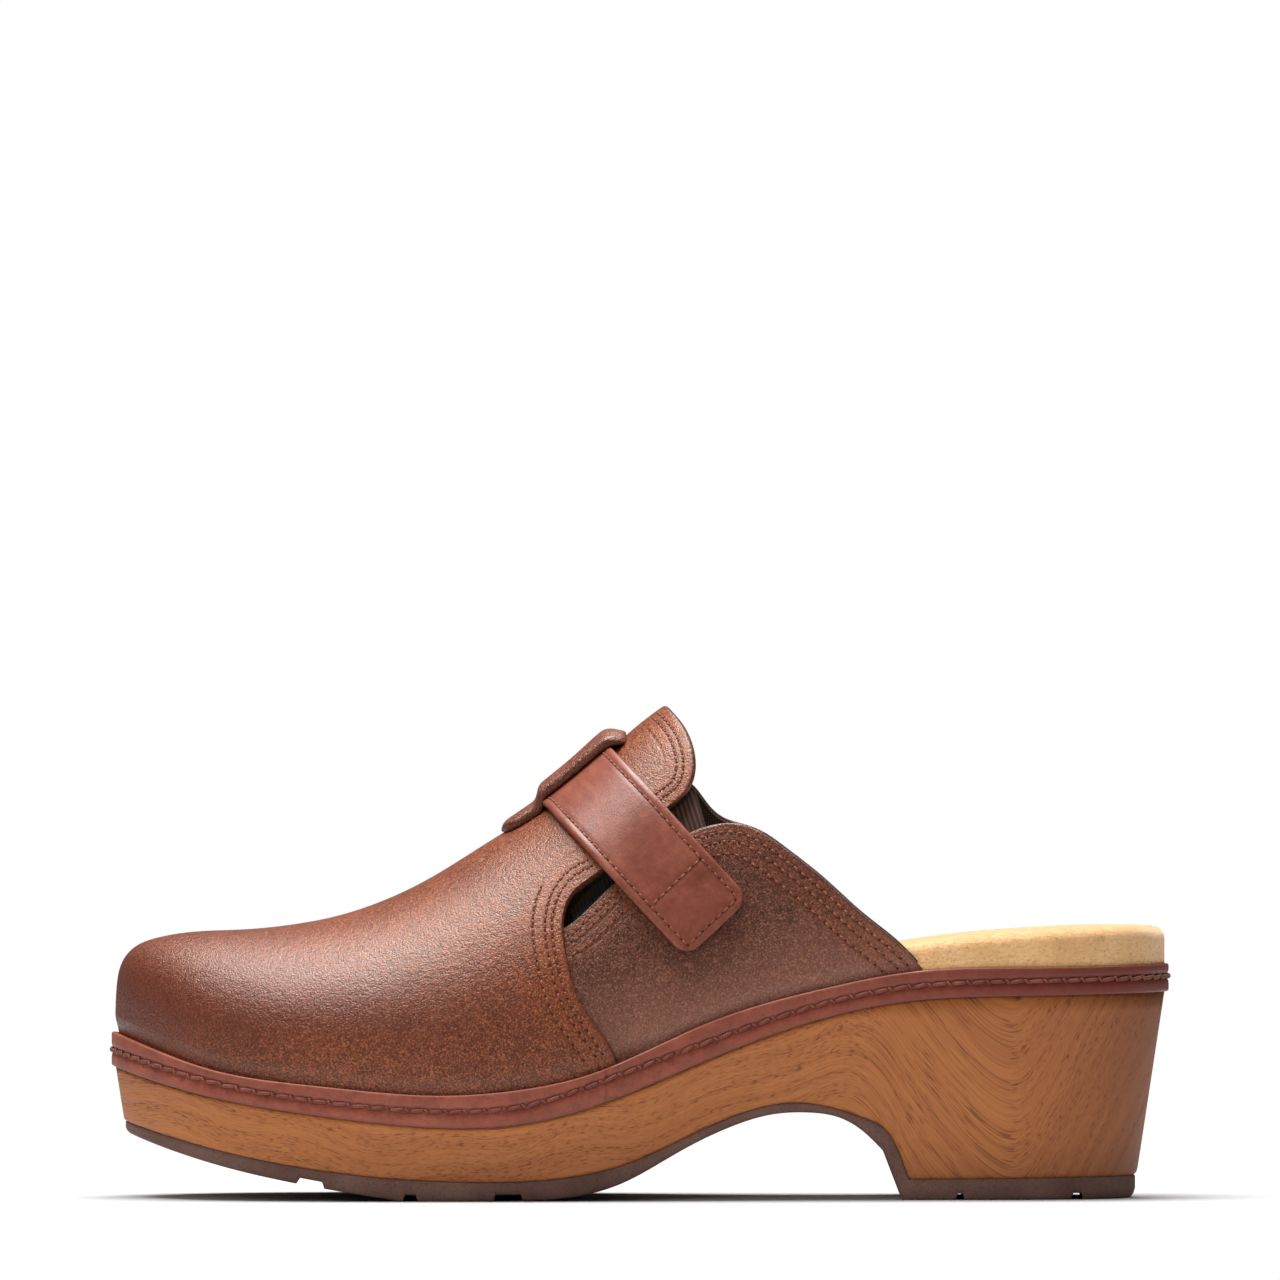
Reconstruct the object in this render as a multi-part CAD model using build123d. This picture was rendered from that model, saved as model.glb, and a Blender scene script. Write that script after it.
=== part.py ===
from build123d import *
import os
from functools import lru_cache
from math import cos, sin, tanh

# A left women's clog. +Z is up, the toe points to -X and the outer (lateral) side faces -Y.
# The origin is the middle of the footprint, on the floor. All sizes are millimetres.

LENGTH = 250.6
HALF_LENGTH = LENGTH / 2
TALL = 150.0
WIDE = 60.0
PLAN_POINTS = 44
LAYER_GAP = 0.1

# Sole unit
WOOD_INSET = 1.0
FLOOR_INSET_FRONT = 3.0
FLOOR_INSET_BACK = 7.6
WOOD_HEAD_Z = 56.0
OUTSOLE_STEP = 0.3
WOOD_TOP_DROP = 3.0
GROOVE_DEPTH = 1.6
TREAD_GROOVES = [(-77.5, 6.0), (-54.0, 3.0), (-31.0, 6.4), (75.5, 1.4), (103.2, 2.4)]

# Rand
RAND_THICKNESS = 1.6
GROOVE_WIDTH = 1.5
THREAD_GROOVE = 0.6
STITCH_INSET = 0.05
STITCH_PITCH = 4.7
STITCH_LENGTH = 3.4
STITCH_RADIUS = 0.5

# Upper: depths are measured inwards from the vamp's outer face
UPPER_INSET = RAND_THICKNESS + LAYER_GAP
LEATHER = 1.6
LINING = 0.9
PUFF_OUTER = LEATHER + LAYER_GAP
PUFF_INNER = 2.4
VAMP_LINING_OUTER = 2.5
QUARTER_OUTER = LEATHER + LAYER_GAP
QUARTER_INNER = QUARTER_OUTER + LEATHER
QUARTER_LINING_OUTER = QUARTER_INNER + LAYER_GAP
QUARTER_LINING_INNER = QUARTER_LINING_OUTER + LINING
GORE_OUTER = QUARTER_LINING_OUTER
GORE_INNER = GORE_OUTER + 0.8
OVERLAP = QUARTER_OUTER
SEAT_GAP = 0.7
REBATE_INSET = UPPER_INSET + LEATHER + SEAT_GAP
POCKET_INSET = REBATE_INSET + OVERLAP
POCKET_FRONT = -30.0
POCKET_BACK = 30.0
RELIEF = OVERLAP - 0.5
RELIEF_START = 2.0
RELIEF_RUN = 24.0
MARGIN_CLEARANCE = 0.3
LINING_CLEARANCE = 0.3

# Shape of the upper's cross-sections
UPPER_BACK = 76.0
SECTIONS = 26
SECTION_GRADING = 1.8
SECTION_ANGLES = [0.25, 0.55, 0.85, 1.15, 1.4]
FULLNESS_MEAN = 2.15
FULLNESS_SWING = 0.25
FULLNESS_X = -50.0
FULLNESS_RUN = 30.0
WALL_RISE = 4.0
MARGIN_DROP = 12.0
RIDGE_Y = 3.0
RIDGE_DRIFT = 0.01

# Insole and footbed
BOARD_THICKNESS = 2.0
BOARD_GAP = 0.1
COVER_THICKNESS = 1.2
FOOTBED_INSET = 6.4
HEEL_BED_INSET = 1.75
BED_STEP = 68.0

# Strap: negative depths lie outside the vamp's outer face
STRAP_OUTER = -2.3
STRAP_INNER = -0.95
BACKING_OUTER = -0.9
BACKING_INNER = -0.4
BACKING_MARGIN = 0.5
HOOK_INNER = 0.3
HOOK_OUTER = -0.35
LOOP_OUTER = 0.7
LOOP_INNER = 1.65
PAD_MARGIN = 3.0
PAD_LENGTH = 20.0
SPLIT_Y = -10.5
SPLIT_GAP = 0.5
STRAP_END_RADIUS = 5.5

# Keeper: a loop of leather along the instep, with the strap running through it
KEEPER_START = (-23.0, 92.2)
INSTEP_ANGLE = 43.5
KEEPER_FOOT = -13.0
KEEPER_CHANNEL_START = -0.4
KEEPER_CHANNEL_END = 21.6
KEEPER_END = 24.0
KEEPER_INNER = -2.6
KEEPER_OUTER = -4.6
FOOT_OUTER = -2.3
FOOT_INNER = -0.1
KEEPER_HALF_WIDTH = 9.5
KEEPER_Y = 3.0

# Plan of the rand's outer edge, starting at the heel and going forward along the lateral side.
PLAN = [
    (HALF_LENGTH, 0),
    (117.5, -21),
    (101, -31.5),
    (66, -35),
    (28, -36.5),
    (-6, -43),
    (-42, -47.5),
    (-76, -45),
    (-101, -35.5),
    (-118, -18),
    (-HALF_LENGTH, 3),
    (-119, 22),
    (-104, 37),
    (-78, 46.5),
    (-48, 47.5),
    (-10, 39.5),
    (28, 31.5),
    (66, 32),
    (101, 30.5),
    (117.5, 20.5),
]

# Side view curves, each a list of (x, z).
RAND_TOP = [(-140, 44), (-125.4, 39.2), (-102.4, 31.2), (-75, 27.1), (-47.5, 25), (-29, 26.2),
            (-10.6, 30.3), (15.3, 41.6), (46.1, 50.6), (61.5, 53.6), (92, 54.9), (140, 55.8)]
RAND_BOTTOM = [(-140, 36.5), (-125.4, 31.2), (-102.5, 24.6), (-74.1, 19.9), (-45.6, 17.3), (-24.3, 18.7),
               (-3, 25.1), (15.3, 32.8), (30.7, 38.8), (46.1, 43.6), (60.5, 46.5), (89.5, 48.1), (140, 49.2)]
STITCH_LINE = [(-140, 39.5), (-123.5, 34.4), (-99.1, 27.5), (-74.6, 23.4), (-46.6, 21.2), (-26.6, 22.6),
               (-7, 28.9), (15.3, 37.2), (46.1, 47.1), (61, 50), (91, 51.6), (140, 52.9)]
WOOD_UNDER = [(-140, 24), (-117.8, 16.8), (-95.4, 10.9), (-67, 6.2), (-38.5, 4.5), (-17.2, 5.5),
              (-3, 8.8), (10.2, 14.6), (20.4, 19.2), (38.4, 22.9), (53.8, 19), (60.5, 12.5), (63.3, 4.9)]
WOOD_UNDER_HEEL = [(63.3, 4.9), (140, 5.5)]
TREAD_FRONT = [(-140, 23), (-122, 15.6), (-96.8, 7.6), (-77.9, 3.6), (-56, 0)]
TREAD_ARCH = [(-32, 0), (-16.2, 0.9), (-4, 4.2), (10.2, 12), (20.4, 16.9), (30.7, 20.1), (40, 20.6),
              (46.1, 19.7), (52.3, 16.4), (57.4, 11.5)]
BREAST_FOOT = (61.8, 0)
HEEL_FLAT_END = (114, 0)
HEEL_ROUND = [(114, 0), (118, 1.2), (140, 12)]
FOOTBED_TOP = [(-140, 46), (-102, 36.3), (-75, 32.3), (-47.5, 30.4), (-29, 31.6), (-10.6, 35.9),
               (15.3, 47.4), (46.1, 57), (61.5, 60.3), (89.5, 63.4), (115.3, 64.4), (140, 63.5)]

# Side view outline of the upper: up the toe, along the ridge and on past the tongue.
TOE_WALL = [(-123.6, 10), (-123.6, 46)]
RIDGE = [(-123.6, 46), (-122.9, 53), (-119.6, 59), (-112.5, 61.9), (-96, 63.3), (-80.6, 64.6), (-64, 69),
         (-49.4, 75.8), (-35.2, 84.4), (-23, 92.2), (-9, 104.3), (0, 112.4), (16, 124), (38, 134), (90, 140)]
VAMP_EDGE = [(-4, 26), (-5.4, 32.8), (-14.1, 47.1), (-17.6, 58), (-18.3, 65.2), (-16.6, 71.6), (-9, 77.2)]
TONGUE_EDGE = [(3.5, 90.2), (10.2, 95.7), (12.6, 103), (9.6, 112.4), (5.9, 116.6)]
QUARTER_TOP = [(12.7, 87.7), (18.6, 89.3), (23.6, 89.2), (34.5, 83), (43.9, 75.4), (52.6, 67.4),
               (62.1, 59.4), (66.4, 54.3)]
QUARTER_FRONT = [(-13, 24), (-15, 31), (-23, 45), (-25.5, 56), (-24, 62.5)]
QUARTER_CORNER = [(-16.8, 65.8), (-7.1, 74.8)]
MEDIAL_TOP = [(12, 98.6), (16.6, 93), (23.6, 88.6), (34.5, 83), (43.9, 75.4), (52.6, 67.4),
              (62.1, 59.4), (66.4, 54.3)]
MEDIAL_CORNER = [(-16, 79), (1, 95)]
GORE_OUTLINE = [(-20, 71), (-10, 84), (3, 97), (12, 98), (18, 86), (-2, 71), (-13, 62)]
STRAP_CORNERS = [(-22.4, 92.8), (-7.9, 107.7), (24, 72.5), (10.5, 58.7)]
ANCHOR_CORNERS = [(-22.4, 92.8), (-7.9, 107.7), (11, 88), (-3.5, 73)]
PUFF_BACK = -88.0


def spline(points):
    return Spline(*points)


def closed_face(*edges):
    return make_face(Wire(list(edges)))


def side_prism(face, y_from=-WIDE, y_to=WIDE):
    """A side-view face, drawn in X and Z, stretched across the clog from y_from to y_to."""
    upright = Plane.XZ.offset(-y_from) * face
    return extrude(upright, amount=-(y_to - y_from))


def plan_wire(front_inset, back_inset, z):
    """The plan outline at a height, inset by an amount that changes evenly from toe to heel."""
    outline = Spline(*PLAN, periodic=True)
    points = []
    for i in range(PLAN_POINTS):
        along = outline % (i / PLAN_POINTS)
        here = outline @ (i / PLAN_POINTS)
        share = (here.X + HALF_LENGTH) / LENGTH
        inset = front_inset + (back_inset - front_inset) * share
        points.append(here + Vector(along.Y, -along.X) * inset + Vector(0, 0, z))
    return Wire([Spline(*points, periodic=True)])


@lru_cache
def plan_face(inset):
    return make_face(plan_wire(inset, inset, 0)).face()


def drafted_slab(extra, lower, upper):
    """The tapering block of the platform, cut between two side-view chains."""
    floor = plan_wire(FLOOR_INSET_FRONT + extra, FLOOR_INSET_BACK + extra, 0)
    head = plan_wire(WOOD_INSET + extra, WOOD_INSET + extra, WOOD_HEAD_Z)
    return Solid.make_loft([floor, head], True) & side_prism(band_between(lower, upper))


def band_between(lower, upper):
    """Side-view face between two chains of edges that both run towards +X."""
    start = Line(lower[0] @ 0, upper[0] @ 0)
    finish = Line(lower[-1] @ 1, upper[-1] @ 1)
    return closed_face(*lower, *upper, start, finish)


def slab(inset, lower, upper):
    """A plan outline, inset, cut between two side-view chains."""
    block = extrude(plan_face(inset), amount=TALL)
    return block & side_prism(band_between(lower, upper))


def lifted(points, dz=0.0):
    return [spline([(x, z + dz) for x, z in points])]


def wood_underside():
    return [spline(WOOD_UNDER), Line(*WOOD_UNDER_HEEL)]


def tread_line():
    ball = Line(TREAD_FRONT[-1], TREAD_ARCH[0])
    breast = Line(TREAD_ARCH[-1], BREAST_FOOT)
    heel = Line(BREAST_FOOT, HEEL_FLAT_END)
    return [spline(TREAD_FRONT), ball, spline(TREAD_ARCH), breast, heel, spline(HEEL_ROUND)]


def reach(face, x):
    """Lowest and highest ordinate of a flat face along the line at x."""
    edge = (Line((x, -TALL), (x, 2 * TALL)) & face).bounding_box()
    return edge.min.Y, edge.max.Y


@lru_cache
def rand_top_face():
    return band_between([Line((-140, -1), (140, -1))], lifted(RAND_TOP))


@lru_cache
def stitch_face():
    return band_between([Line((-140, -1), (140, -1))], lifted(STITCH_LINE))


@lru_cache
def ridge_face(depth):
    """Side view of the upper's filled form, inset by depth."""
    end_x = RIDGE[-1][0]
    floor_z = TOE_WALL[0][1]
    corner = (end_x, floor_z)
    face = closed_face(Line(*TOE_WALL), spline(RIDGE), Line(RIDGE[-1], corner), Line(corner, TOE_WALL[0]))
    if depth == 0:
        return face
    return offset(face, amount=-depth, kind=Kind.ARC).face()


def relief_at(x):
    """How far a layer under the vamp moves outward, low down, where the vamp no longer covers it."""
    u = min(1.0, max(0.0, (x - RELIEF_START) / RELIEF_RUN))
    return RELIEF * u * u * (3 - 2 * u)


def half_section(x, y_base, y_wide, y_ridge, z_base, z_wide, z_top):
    """Points up one wall, from the margin to the ridge, along a rounded superellipse."""
    power = FULLNESS_MEAN - FULLNESS_SWING * tanh((x - FULLNESS_X) / FULLNESS_RUN)
    points = [(x, y_base, z_base), (x, y_base, z_wide)]
    for angle in SECTION_ANGLES:
        across = cos(angle) ** (2 / power)
        up = sin(angle) ** (2 / power)
        points.append((x, y_ridge + (y_wide - y_ridge) * across, z_wide + (z_top - z_wide) * up))
    points.append((x, y_ridge, z_top))
    return points


def section_wire(x, depth, relieved):
    lateral, medial = reach(plan_face(UPPER_INSET + depth), x)
    z_top = reach(ridge_face(depth), x)[1]
    z_rand = reach(rand_top_face(), x)[1]
    z_wide = min(z_rand + WALL_RISE, z_top - WALL_RISE)
    z_base = z_rand - MARGIN_DROP - max(depth, 0)
    y_ridge = RIDGE_Y - RIDGE_DRIFT * x
    extra = relief_at(x) if relieved else 0.0
    left = half_section(x, lateral - extra, lateral, y_ridge, z_base, z_wide, z_top)
    right = half_section(x, medial + extra, medial, y_ridge, z_base, z_wide, z_top)
    arch = Spline(*left, *reversed(right[:-1]))
    return Wire([arch, Line(right[0], left[0])])


@lru_cache
def upper_body(depth, relieved=False):
    """The filled form of the upper, inset by depth (negative is outside the vamp)."""
    front = TOE_WALL[0][0] + depth
    back = UPPER_BACK + max(depth, 0)
    shares = [(k / SECTIONS) ** SECTION_GRADING for k in range(1, SECTIONS + 1)]
    stations = [front + (back - front) * share for share in shares]
    return Solid.make_loft([section_wire(x, depth, relieved) for x in stations])


def layer(outer, inner, relieved=False):
    return upper_body(outer, relieved) - upper_body(inner, relieved)


def above(points, dz):
    """Everything above a side-view curve."""
    high = Line((points[0][0], 2 * TALL), (points[-1][0], 2 * TALL))
    return side_prism(band_between(lifted(points, dz), [high]))


def vamp_region():
    hidden = Line(VAMP_EDGE[-1], TONGUE_EDGE[0])
    outside = Polyline(TONGUE_EDGE[-1], (0, 130), (-140, 130), (-140, 0), (VAMP_EDGE[0][0], 0), VAMP_EDGE[0])
    return closed_face(spline(VAMP_EDGE), hidden, spline(TONGUE_EDGE), *outside.edges())


def quarter_region(top, corner):
    """Side view of a quarter: its front edge lies under the vamp and its top runs down to the rand."""
    climb = Polyline(QUARTER_FRONT[-1], *corner, top[0])
    back = Polyline(top[-1], (78, 30), (30, 5), (QUARTER_FRONT[0][0], 5), QUARTER_FRONT[0])
    return closed_face(spline(QUARTER_FRONT), *climb.edges(), spline(top), *back.edges())


def ridge_box(s_from, s_to, low, high):
    """A side-view rectangle set square to the instep, s along it and low to high away from it."""
    here = Location((KEEPER_START[0], KEEPER_START[1], 0), (0, 0, INSTEP_ANGLE))
    return here * Pos((s_from + s_to) / 2, (low + high) / 2) * Rectangle(s_to - s_from, high - low)


def strap_region():
    face = make_face(Polyline(*STRAP_CORNERS, close=True))
    tips = face.vertices().sort_by(Axis((0, 0, 0), (1, -1, 0)))[-2:]
    return fillet(tips, STRAP_END_RADIUS)


def pad_region():
    """The strap's outline near its free end, inset."""
    inner = offset(strap_region(), amount=-PAD_MARGIN, kind=Kind.ARC)
    end_x = (STRAP_CORNERS[2][0] + STRAP_CORNERS[3][0]) / 2
    end_z = (STRAP_CORNERS[2][1] + STRAP_CORNERS[3][1]) / 2
    along = Location((end_x, end_z, 0), (0, 0, INSTEP_ANGLE))
    return inner & (along * Rectangle(2 * PAD_LENGTH, 2 * PAD_LENGTH))


def everywhere():
    return Rectangle(4 * TALL, 4 * TALL)


def lateral(region, edge_y):
    return side_prism(region, -WIDE, edge_y)


def medial(region, edge_y):
    return side_prism(region, edge_y, WIDE)


def outsole():
    profile = band_between(tread_line(), [Line((-140, 60), (140, 60))])
    sole = drafted_slab(OUTSOLE_STEP, tread_line(), wood_underside())
    for x, wide in TREAD_GROOVES:
        depth = reach(profile, x)[0] + GROOVE_DEPTH
        sole = sole - Pos(x, 0, 0) * Box(wide, 2 * WIDE, 2 * depth)
    return sole


def wooden_platform():
    lower = drafted_slab(0, wood_underside(), lifted(RAND_BOTTOM))
    core = slab(REBATE_INSET, lifted(RAND_BOTTOM, -1), lifted(RAND_TOP, -WOOD_TOP_DROP))
    middle = Pos((POCKET_FRONT + POCKET_BACK) / 2, TALL / 2)
    pocket = side_prism(middle * Rectangle(POCKET_BACK - POCKET_FRONT, TALL))
    ring = slab(0, lifted(RAND_BOTTOM), lifted(RAND_TOP, 1))
    ring = ring - slab(POCKET_INSET, lifted(RAND_BOTTOM, -1), lifted(RAND_TOP, 2))
    heel = Pos(UPPER_BACK + 1 + HALF_LENGTH, 0, TALL / 2) * Box(LENGTH, 2 * WIDE, TALL)
    heel_core = slab(UPPER_INSET, lifted(RAND_BOTTOM, -1), lifted(RAND_TOP, -WOOD_TOP_DROP)) & heel
    return lower.fuse(core - (ring & pocket), heel_core)


def rand():
    whole = slab(0, lifted(RAND_BOTTOM), lifted(RAND_TOP))
    inside = slab(RAND_THICKNESS, lifted(RAND_BOTTOM, -2), lifted(RAND_TOP, 2))
    channel = slab(-1, lifted(STITCH_LINE, -GROOVE_WIDTH / 2), lifted(STITCH_LINE, GROOVE_WIDTH / 2))
    channel = channel - slab(THREAD_GROOVE, lifted(STITCH_LINE, -2), lifted(STITCH_LINE, 2))
    return whole - inside - channel


def rand_stitching():
    path = plan_wire(STITCH_INSET, STITCH_INSET, 0)
    count = round(path.length / STITCH_PITCH)
    stitches = []
    for i in range(count):
        here = path.position_at(i / count)
        along = path.tangent_at(i / count)
        z = reach(stitch_face(), here.X)[1]
        ahead = reach(stitch_face(), here.X + along.X)[1]
        facing = Plane((here.X, here.Y, z), z_dir=(along.X, along.Y, ahead - z))
        stitches.append(facing * Cylinder(STITCH_RADIUS, STITCH_LENGTH))
    return Compound(stitches)


def insole_board():
    low = lifted(RAND_TOP, -WOOD_TOP_DROP)
    high = lifted(RAND_TOP, BOARD_THICKNESS - WOOD_TOP_DROP)
    return slab(FOOTBED_INSET, low, high)


def bed_slab(inset, lower, upper):
    """The footbed's plan, close to the rand at the heel and inside the linings in front of it."""
    heel = Pos(BED_STEP + inset + HALF_LENGTH, 0, TALL / 2) * Box(LENGTH, 2 * WIDE, TALL)
    profile = side_prism(band_between(lower, upper))
    wide = extrude(plan_face(HEEL_BED_INSET + inset), amount=TALL) & heel & profile
    narrow = extrude(plan_face(FOOTBED_INSET + inset), amount=TALL) & profile
    return narrow.fuse(wide)


def footbed_cover():
    low = lifted(RAND_TOP, BOARD_THICKNESS - WOOD_TOP_DROP + BOARD_GAP)
    whole = bed_slab(0, low, lifted(FOOTBED_TOP))
    inside_top = lifted(FOOTBED_TOP, -COVER_THICKNESS)
    return whole - bed_slab(COVER_THICKNESS, lifted(RAND_TOP, -WOOD_TOP_DROP), inside_top)


def footbed_foam():
    low = lifted(RAND_TOP, BOARD_THICKNESS - WOOD_TOP_DROP + BOARD_GAP)
    return bed_slab(COVER_THICKNESS + LAYER_GAP, low, lifted(FOOTBED_TOP, -COVER_THICKNESS - LAYER_GAP))


def vamp():
    return layer(0, LEATHER) & side_prism(vamp_region()) & above(RAND_BOTTOM, MARGIN_CLEARANCE)


def toe_puff():
    front = Pos(PUFF_BACK - LENGTH / 2, TALL / 2) * Rectangle(LENGTH, TALL)
    return layer(PUFF_OUTER, PUFF_INNER) & side_prism(front) & above(RAND_TOP, LINING_CLEARANCE)


def vamp_lining():
    trimmed = side_prism(vamp_region()) - side_prism(quarter_region(MEDIAL_TOP, MEDIAL_CORNER))
    lining = layer(VAMP_LINING_OUTER, VAMP_LINING_OUTER + LINING) & trimmed
    return lining & above(RAND_TOP, LINING_CLEARANCE)


def quarter(top, corner):
    shell = layer(QUARTER_OUTER, QUARTER_INNER, True)
    return shell & side_prism(quarter_region(top, corner)) & above(RAND_BOTTOM, MARGIN_CLEARANCE)


def lateral_quarter():
    return quarter(QUARTER_TOP, QUARTER_CORNER) & lateral(everywhere(), RIDGE_Y)


def medial_quarter():
    return quarter(MEDIAL_TOP, MEDIAL_CORNER) & medial(everywhere(), RIDGE_Y)


def quarter_lining(top, corner):
    shell = layer(QUARTER_LINING_OUTER, QUARTER_LINING_INNER, True)
    return shell & side_prism(quarter_region(top, corner)) & above(RAND_TOP, LINING_CLEARANCE)


def lateral_quarter_lining():
    lining = quarter_lining(QUARTER_TOP, QUARTER_CORNER) & lateral(everywhere(), RIDGE_Y)
    return lining - side_prism(make_face(Polyline(*GORE_OUTLINE, close=True)))


def medial_quarter_lining():
    return quarter_lining(MEDIAL_TOP, MEDIAL_CORNER) & medial(everywhere(), RIDGE_Y)


def elastic_gore():
    shape = make_face(Polyline(*GORE_OUTLINE, close=True))
    return layer(GORE_OUTER, GORE_INNER, True) & lateral(shape, RIDGE_Y - 12)


def strap():
    return layer(STRAP_OUTER, STRAP_INNER, True) & lateral(strap_region(), SPLIT_Y)


def strap_backing():
    shape = offset(strap_region(), amount=-BACKING_MARGIN, kind=Kind.ARC)
    return layer(BACKING_OUTER, BACKING_INNER, True) & lateral(shape, SPLIT_Y)


def strap_anchor():
    shape = make_face(Polyline(*STRAP_CORNERS, close=True))
    near = layer(STRAP_OUTER, STRAP_INNER, True) & side_prism(shape, SPLIT_Y + SPLIT_GAP, RIDGE_Y)
    far_shape = make_face(Polyline(*ANCHOR_CORNERS, close=True))
    far = layer(STRAP_OUTER, STRAP_INNER, True) & medial(far_shape, RIDGE_Y)
    return near + far


def anchor_backing():
    shape = make_face(Polyline(*STRAP_CORNERS, close=True))
    near = layer(BACKING_OUTER, BACKING_INNER, True) & side_prism(shape, SPLIT_Y + SPLIT_GAP, RIDGE_Y)
    far_shape = make_face(Polyline(*ANCHOR_CORNERS, close=True))
    far = layer(BACKING_OUTER, BACKING_INNER, True) & medial(far_shape, RIDGE_Y)
    return near + far


def hook_pad():
    return layer(HOOK_OUTER, HOOK_INNER, True) & lateral(pad_region(), SPLIT_Y)


def loop_pad():
    return layer(LOOP_OUTER, LOOP_INNER, True) & lateral(pad_region(), SPLIT_Y)


def strap_keeper():
    low = KEEPER_Y - KEEPER_HALF_WIDTH
    high = KEEPER_Y + KEEPER_HALF_WIDTH
    foot = layer(FOOT_OUTER, FOOT_INNER) & side_prism(ridge_box(KEEPER_FOOT, KEEPER_END, -20, 20), low, high)
    bridge_at = ridge_box(KEEPER_CHANNEL_START - 2, KEEPER_END, -20, 20)
    bridge = layer(KEEPER_OUTER, FOOT_INNER) & side_prism(bridge_at, low, high)
    channel_at = ridge_box(KEEPER_CHANNEL_START, KEEPER_CHANNEL_END, -20, 20)
    channel = upper_body(KEEPER_INNER) & side_prism(channel_at)
    return foot + bridge - channel


NODES = {
    "outsole": outsole,
    "wooden_platform": wooden_platform,
    "rand": rand,
    "rand_stitching": rand_stitching,
    "insole_board": insole_board,
    "footbed_foam": footbed_foam,
    "footbed_cover": footbed_cover,
    "vamp": vamp,
    "toe_puff": toe_puff,
    "vamp_lining": vamp_lining,
    "lateral_quarter": lateral_quarter,
    "medial_quarter": medial_quarter,
    "lateral_quarter_lining": lateral_quarter_lining,
    "medial_quarter_lining": medial_quarter_lining,
    "elastic_gore": elastic_gore,
    "strap": strap,
    "strap_backing": strap_backing,
    "hook_pad": hook_pad,
    "loop_pad": loop_pad,
    "strap_anchor": strap_anchor,
    "anchor_backing": anchor_backing,
    "strap_keeper": strap_keeper,
}

os.makedirs("parts", exist_ok=True)
for name, make in NODES.items():
    export_step(make(), f"parts/{name}.step")
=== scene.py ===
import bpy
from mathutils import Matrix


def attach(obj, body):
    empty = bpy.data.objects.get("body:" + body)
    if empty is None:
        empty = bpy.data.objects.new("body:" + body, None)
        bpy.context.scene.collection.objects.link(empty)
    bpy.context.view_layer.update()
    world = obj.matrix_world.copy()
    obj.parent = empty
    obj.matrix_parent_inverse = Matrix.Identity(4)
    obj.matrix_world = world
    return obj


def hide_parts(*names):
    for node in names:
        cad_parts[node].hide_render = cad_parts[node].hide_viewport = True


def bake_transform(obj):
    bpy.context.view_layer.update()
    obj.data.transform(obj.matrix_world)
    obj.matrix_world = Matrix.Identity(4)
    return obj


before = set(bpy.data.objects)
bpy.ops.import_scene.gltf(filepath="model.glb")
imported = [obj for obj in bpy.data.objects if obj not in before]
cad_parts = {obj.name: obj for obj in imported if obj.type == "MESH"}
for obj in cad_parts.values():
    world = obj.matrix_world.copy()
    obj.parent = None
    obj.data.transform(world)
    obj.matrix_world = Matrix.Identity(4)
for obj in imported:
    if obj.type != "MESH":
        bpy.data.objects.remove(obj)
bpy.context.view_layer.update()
import math
import bpy
import bmesh
import numpy as np
from mathutils import Vector
from mathutils.kdtree import KDTree

MM = 0.001
rng = np.random.default_rng(7)

# ---------------------------------------------------------------- curves, in millimetres

PLAN = [(125.3, 0), (117.5, -21), (101, -31.5), (66, -35), (28, -36.5), (-6, -43), (-42, -47.5),
        (-76, -45), (-101, -35.5), (-118, -18), (-125.3, 3), (-119, 22), (-104, 37), (-78, 46.5),
        (-48, 47.5), (-10, 39.5),
        (28, 31.5), (66, 32), (101, 30.5), (117.5, 20.5)]
RAND_TOP = [(-140, 44), (-125.4, 39.2), (-102.4, 31.2), (-75, 27.1), (-47.5, 25), (-29, 26.2),
            (-10.6, 30.3), (15.3, 41.6), (46.1, 50.6), (61.5, 53.6), (92, 54.9), (140, 55.8)]
RAND_BOTTOM = [(-140, 36.5), (-125.4, 31.2), (-102.5, 24.6), (-74.1, 19.9), (-45.6, 17.3), (-24.3, 18.7),
               (-3, 25.1), (15.3, 32.8), (30.7, 38.8), (46.1, 43.6), (60.5, 46.5), (89.5, 48.1), (140, 49.2)]
STITCH_LINE = [(-140, 39.5), (-123.5, 34.4), (-99.1, 27.5), (-74.6, 23.4), (-46.6, 21.2), (-26.6, 22.6),
               (-7, 28.9), (15.3, 37.2), (46.1, 47.1), (61, 50), (91, 51.6), (140, 52.9)]
WOOD_UNDER = [(-140, 24), (-117.8, 16.8), (-95.4, 10.9), (-67, 6.2), (-38.5, 4.5), (-17.2, 5.5),
              (-3, 8.8), (10.2, 14.6), (20.4, 19.2), (38.4, 22.9), (53.8, 19), (60.5, 12.5), (63.3, 4.9)]
TREAD_FRONT = [(-140, 23), (-122, 15.6), (-96.8, 7.6), (-77.9, 3.6), (-56, 0)]
TREAD_ARCH = [(-32, 0), (-16.2, 0.9), (-4, 4.2), (10.2, 12), (20.4, 16.9), (30.7, 20.1), (40, 20.6),
              (46.1, 19.7), (52.3, 16.4), (57.4, 11.5)]
FOOTBED_TOP = [(-140, 46), (-102, 36.3), (-75, 32.3), (-47.5, 30.4), (-29, 31.6), (-10.6, 35.9),
               (15.3, 47.4), (46.1, 57), (61.5, 60.3), (89.5, 63.4), (115.3, 64.4), (140, 63.5)]
RIDGE = [(-124.4, 44), (-124.1, 50), (-122.4, 56.4), (-119.4, 59.5), (-115, 61.3), (-108, 62.6),
         (-96, 63.3), (-80.6, 64.8), (-64, 69), (-49.4, 75.8), (-35.2, 84.6), (-23, 92.6), (-9, 104.3),
         (0, 112.2),
         (5.9, 116.6), (16, 123), (38, 134), (90, 140)]
VAMP_EDGE = [(-4, 26), (-5.4, 32.8), (-10.9, 42.2), (-14.1, 47.1), (-17.4, 58), (-18.3, 65.2), (-16.6, 71.6),
             (-13.5, 75), (-9, 77.2)]
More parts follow.
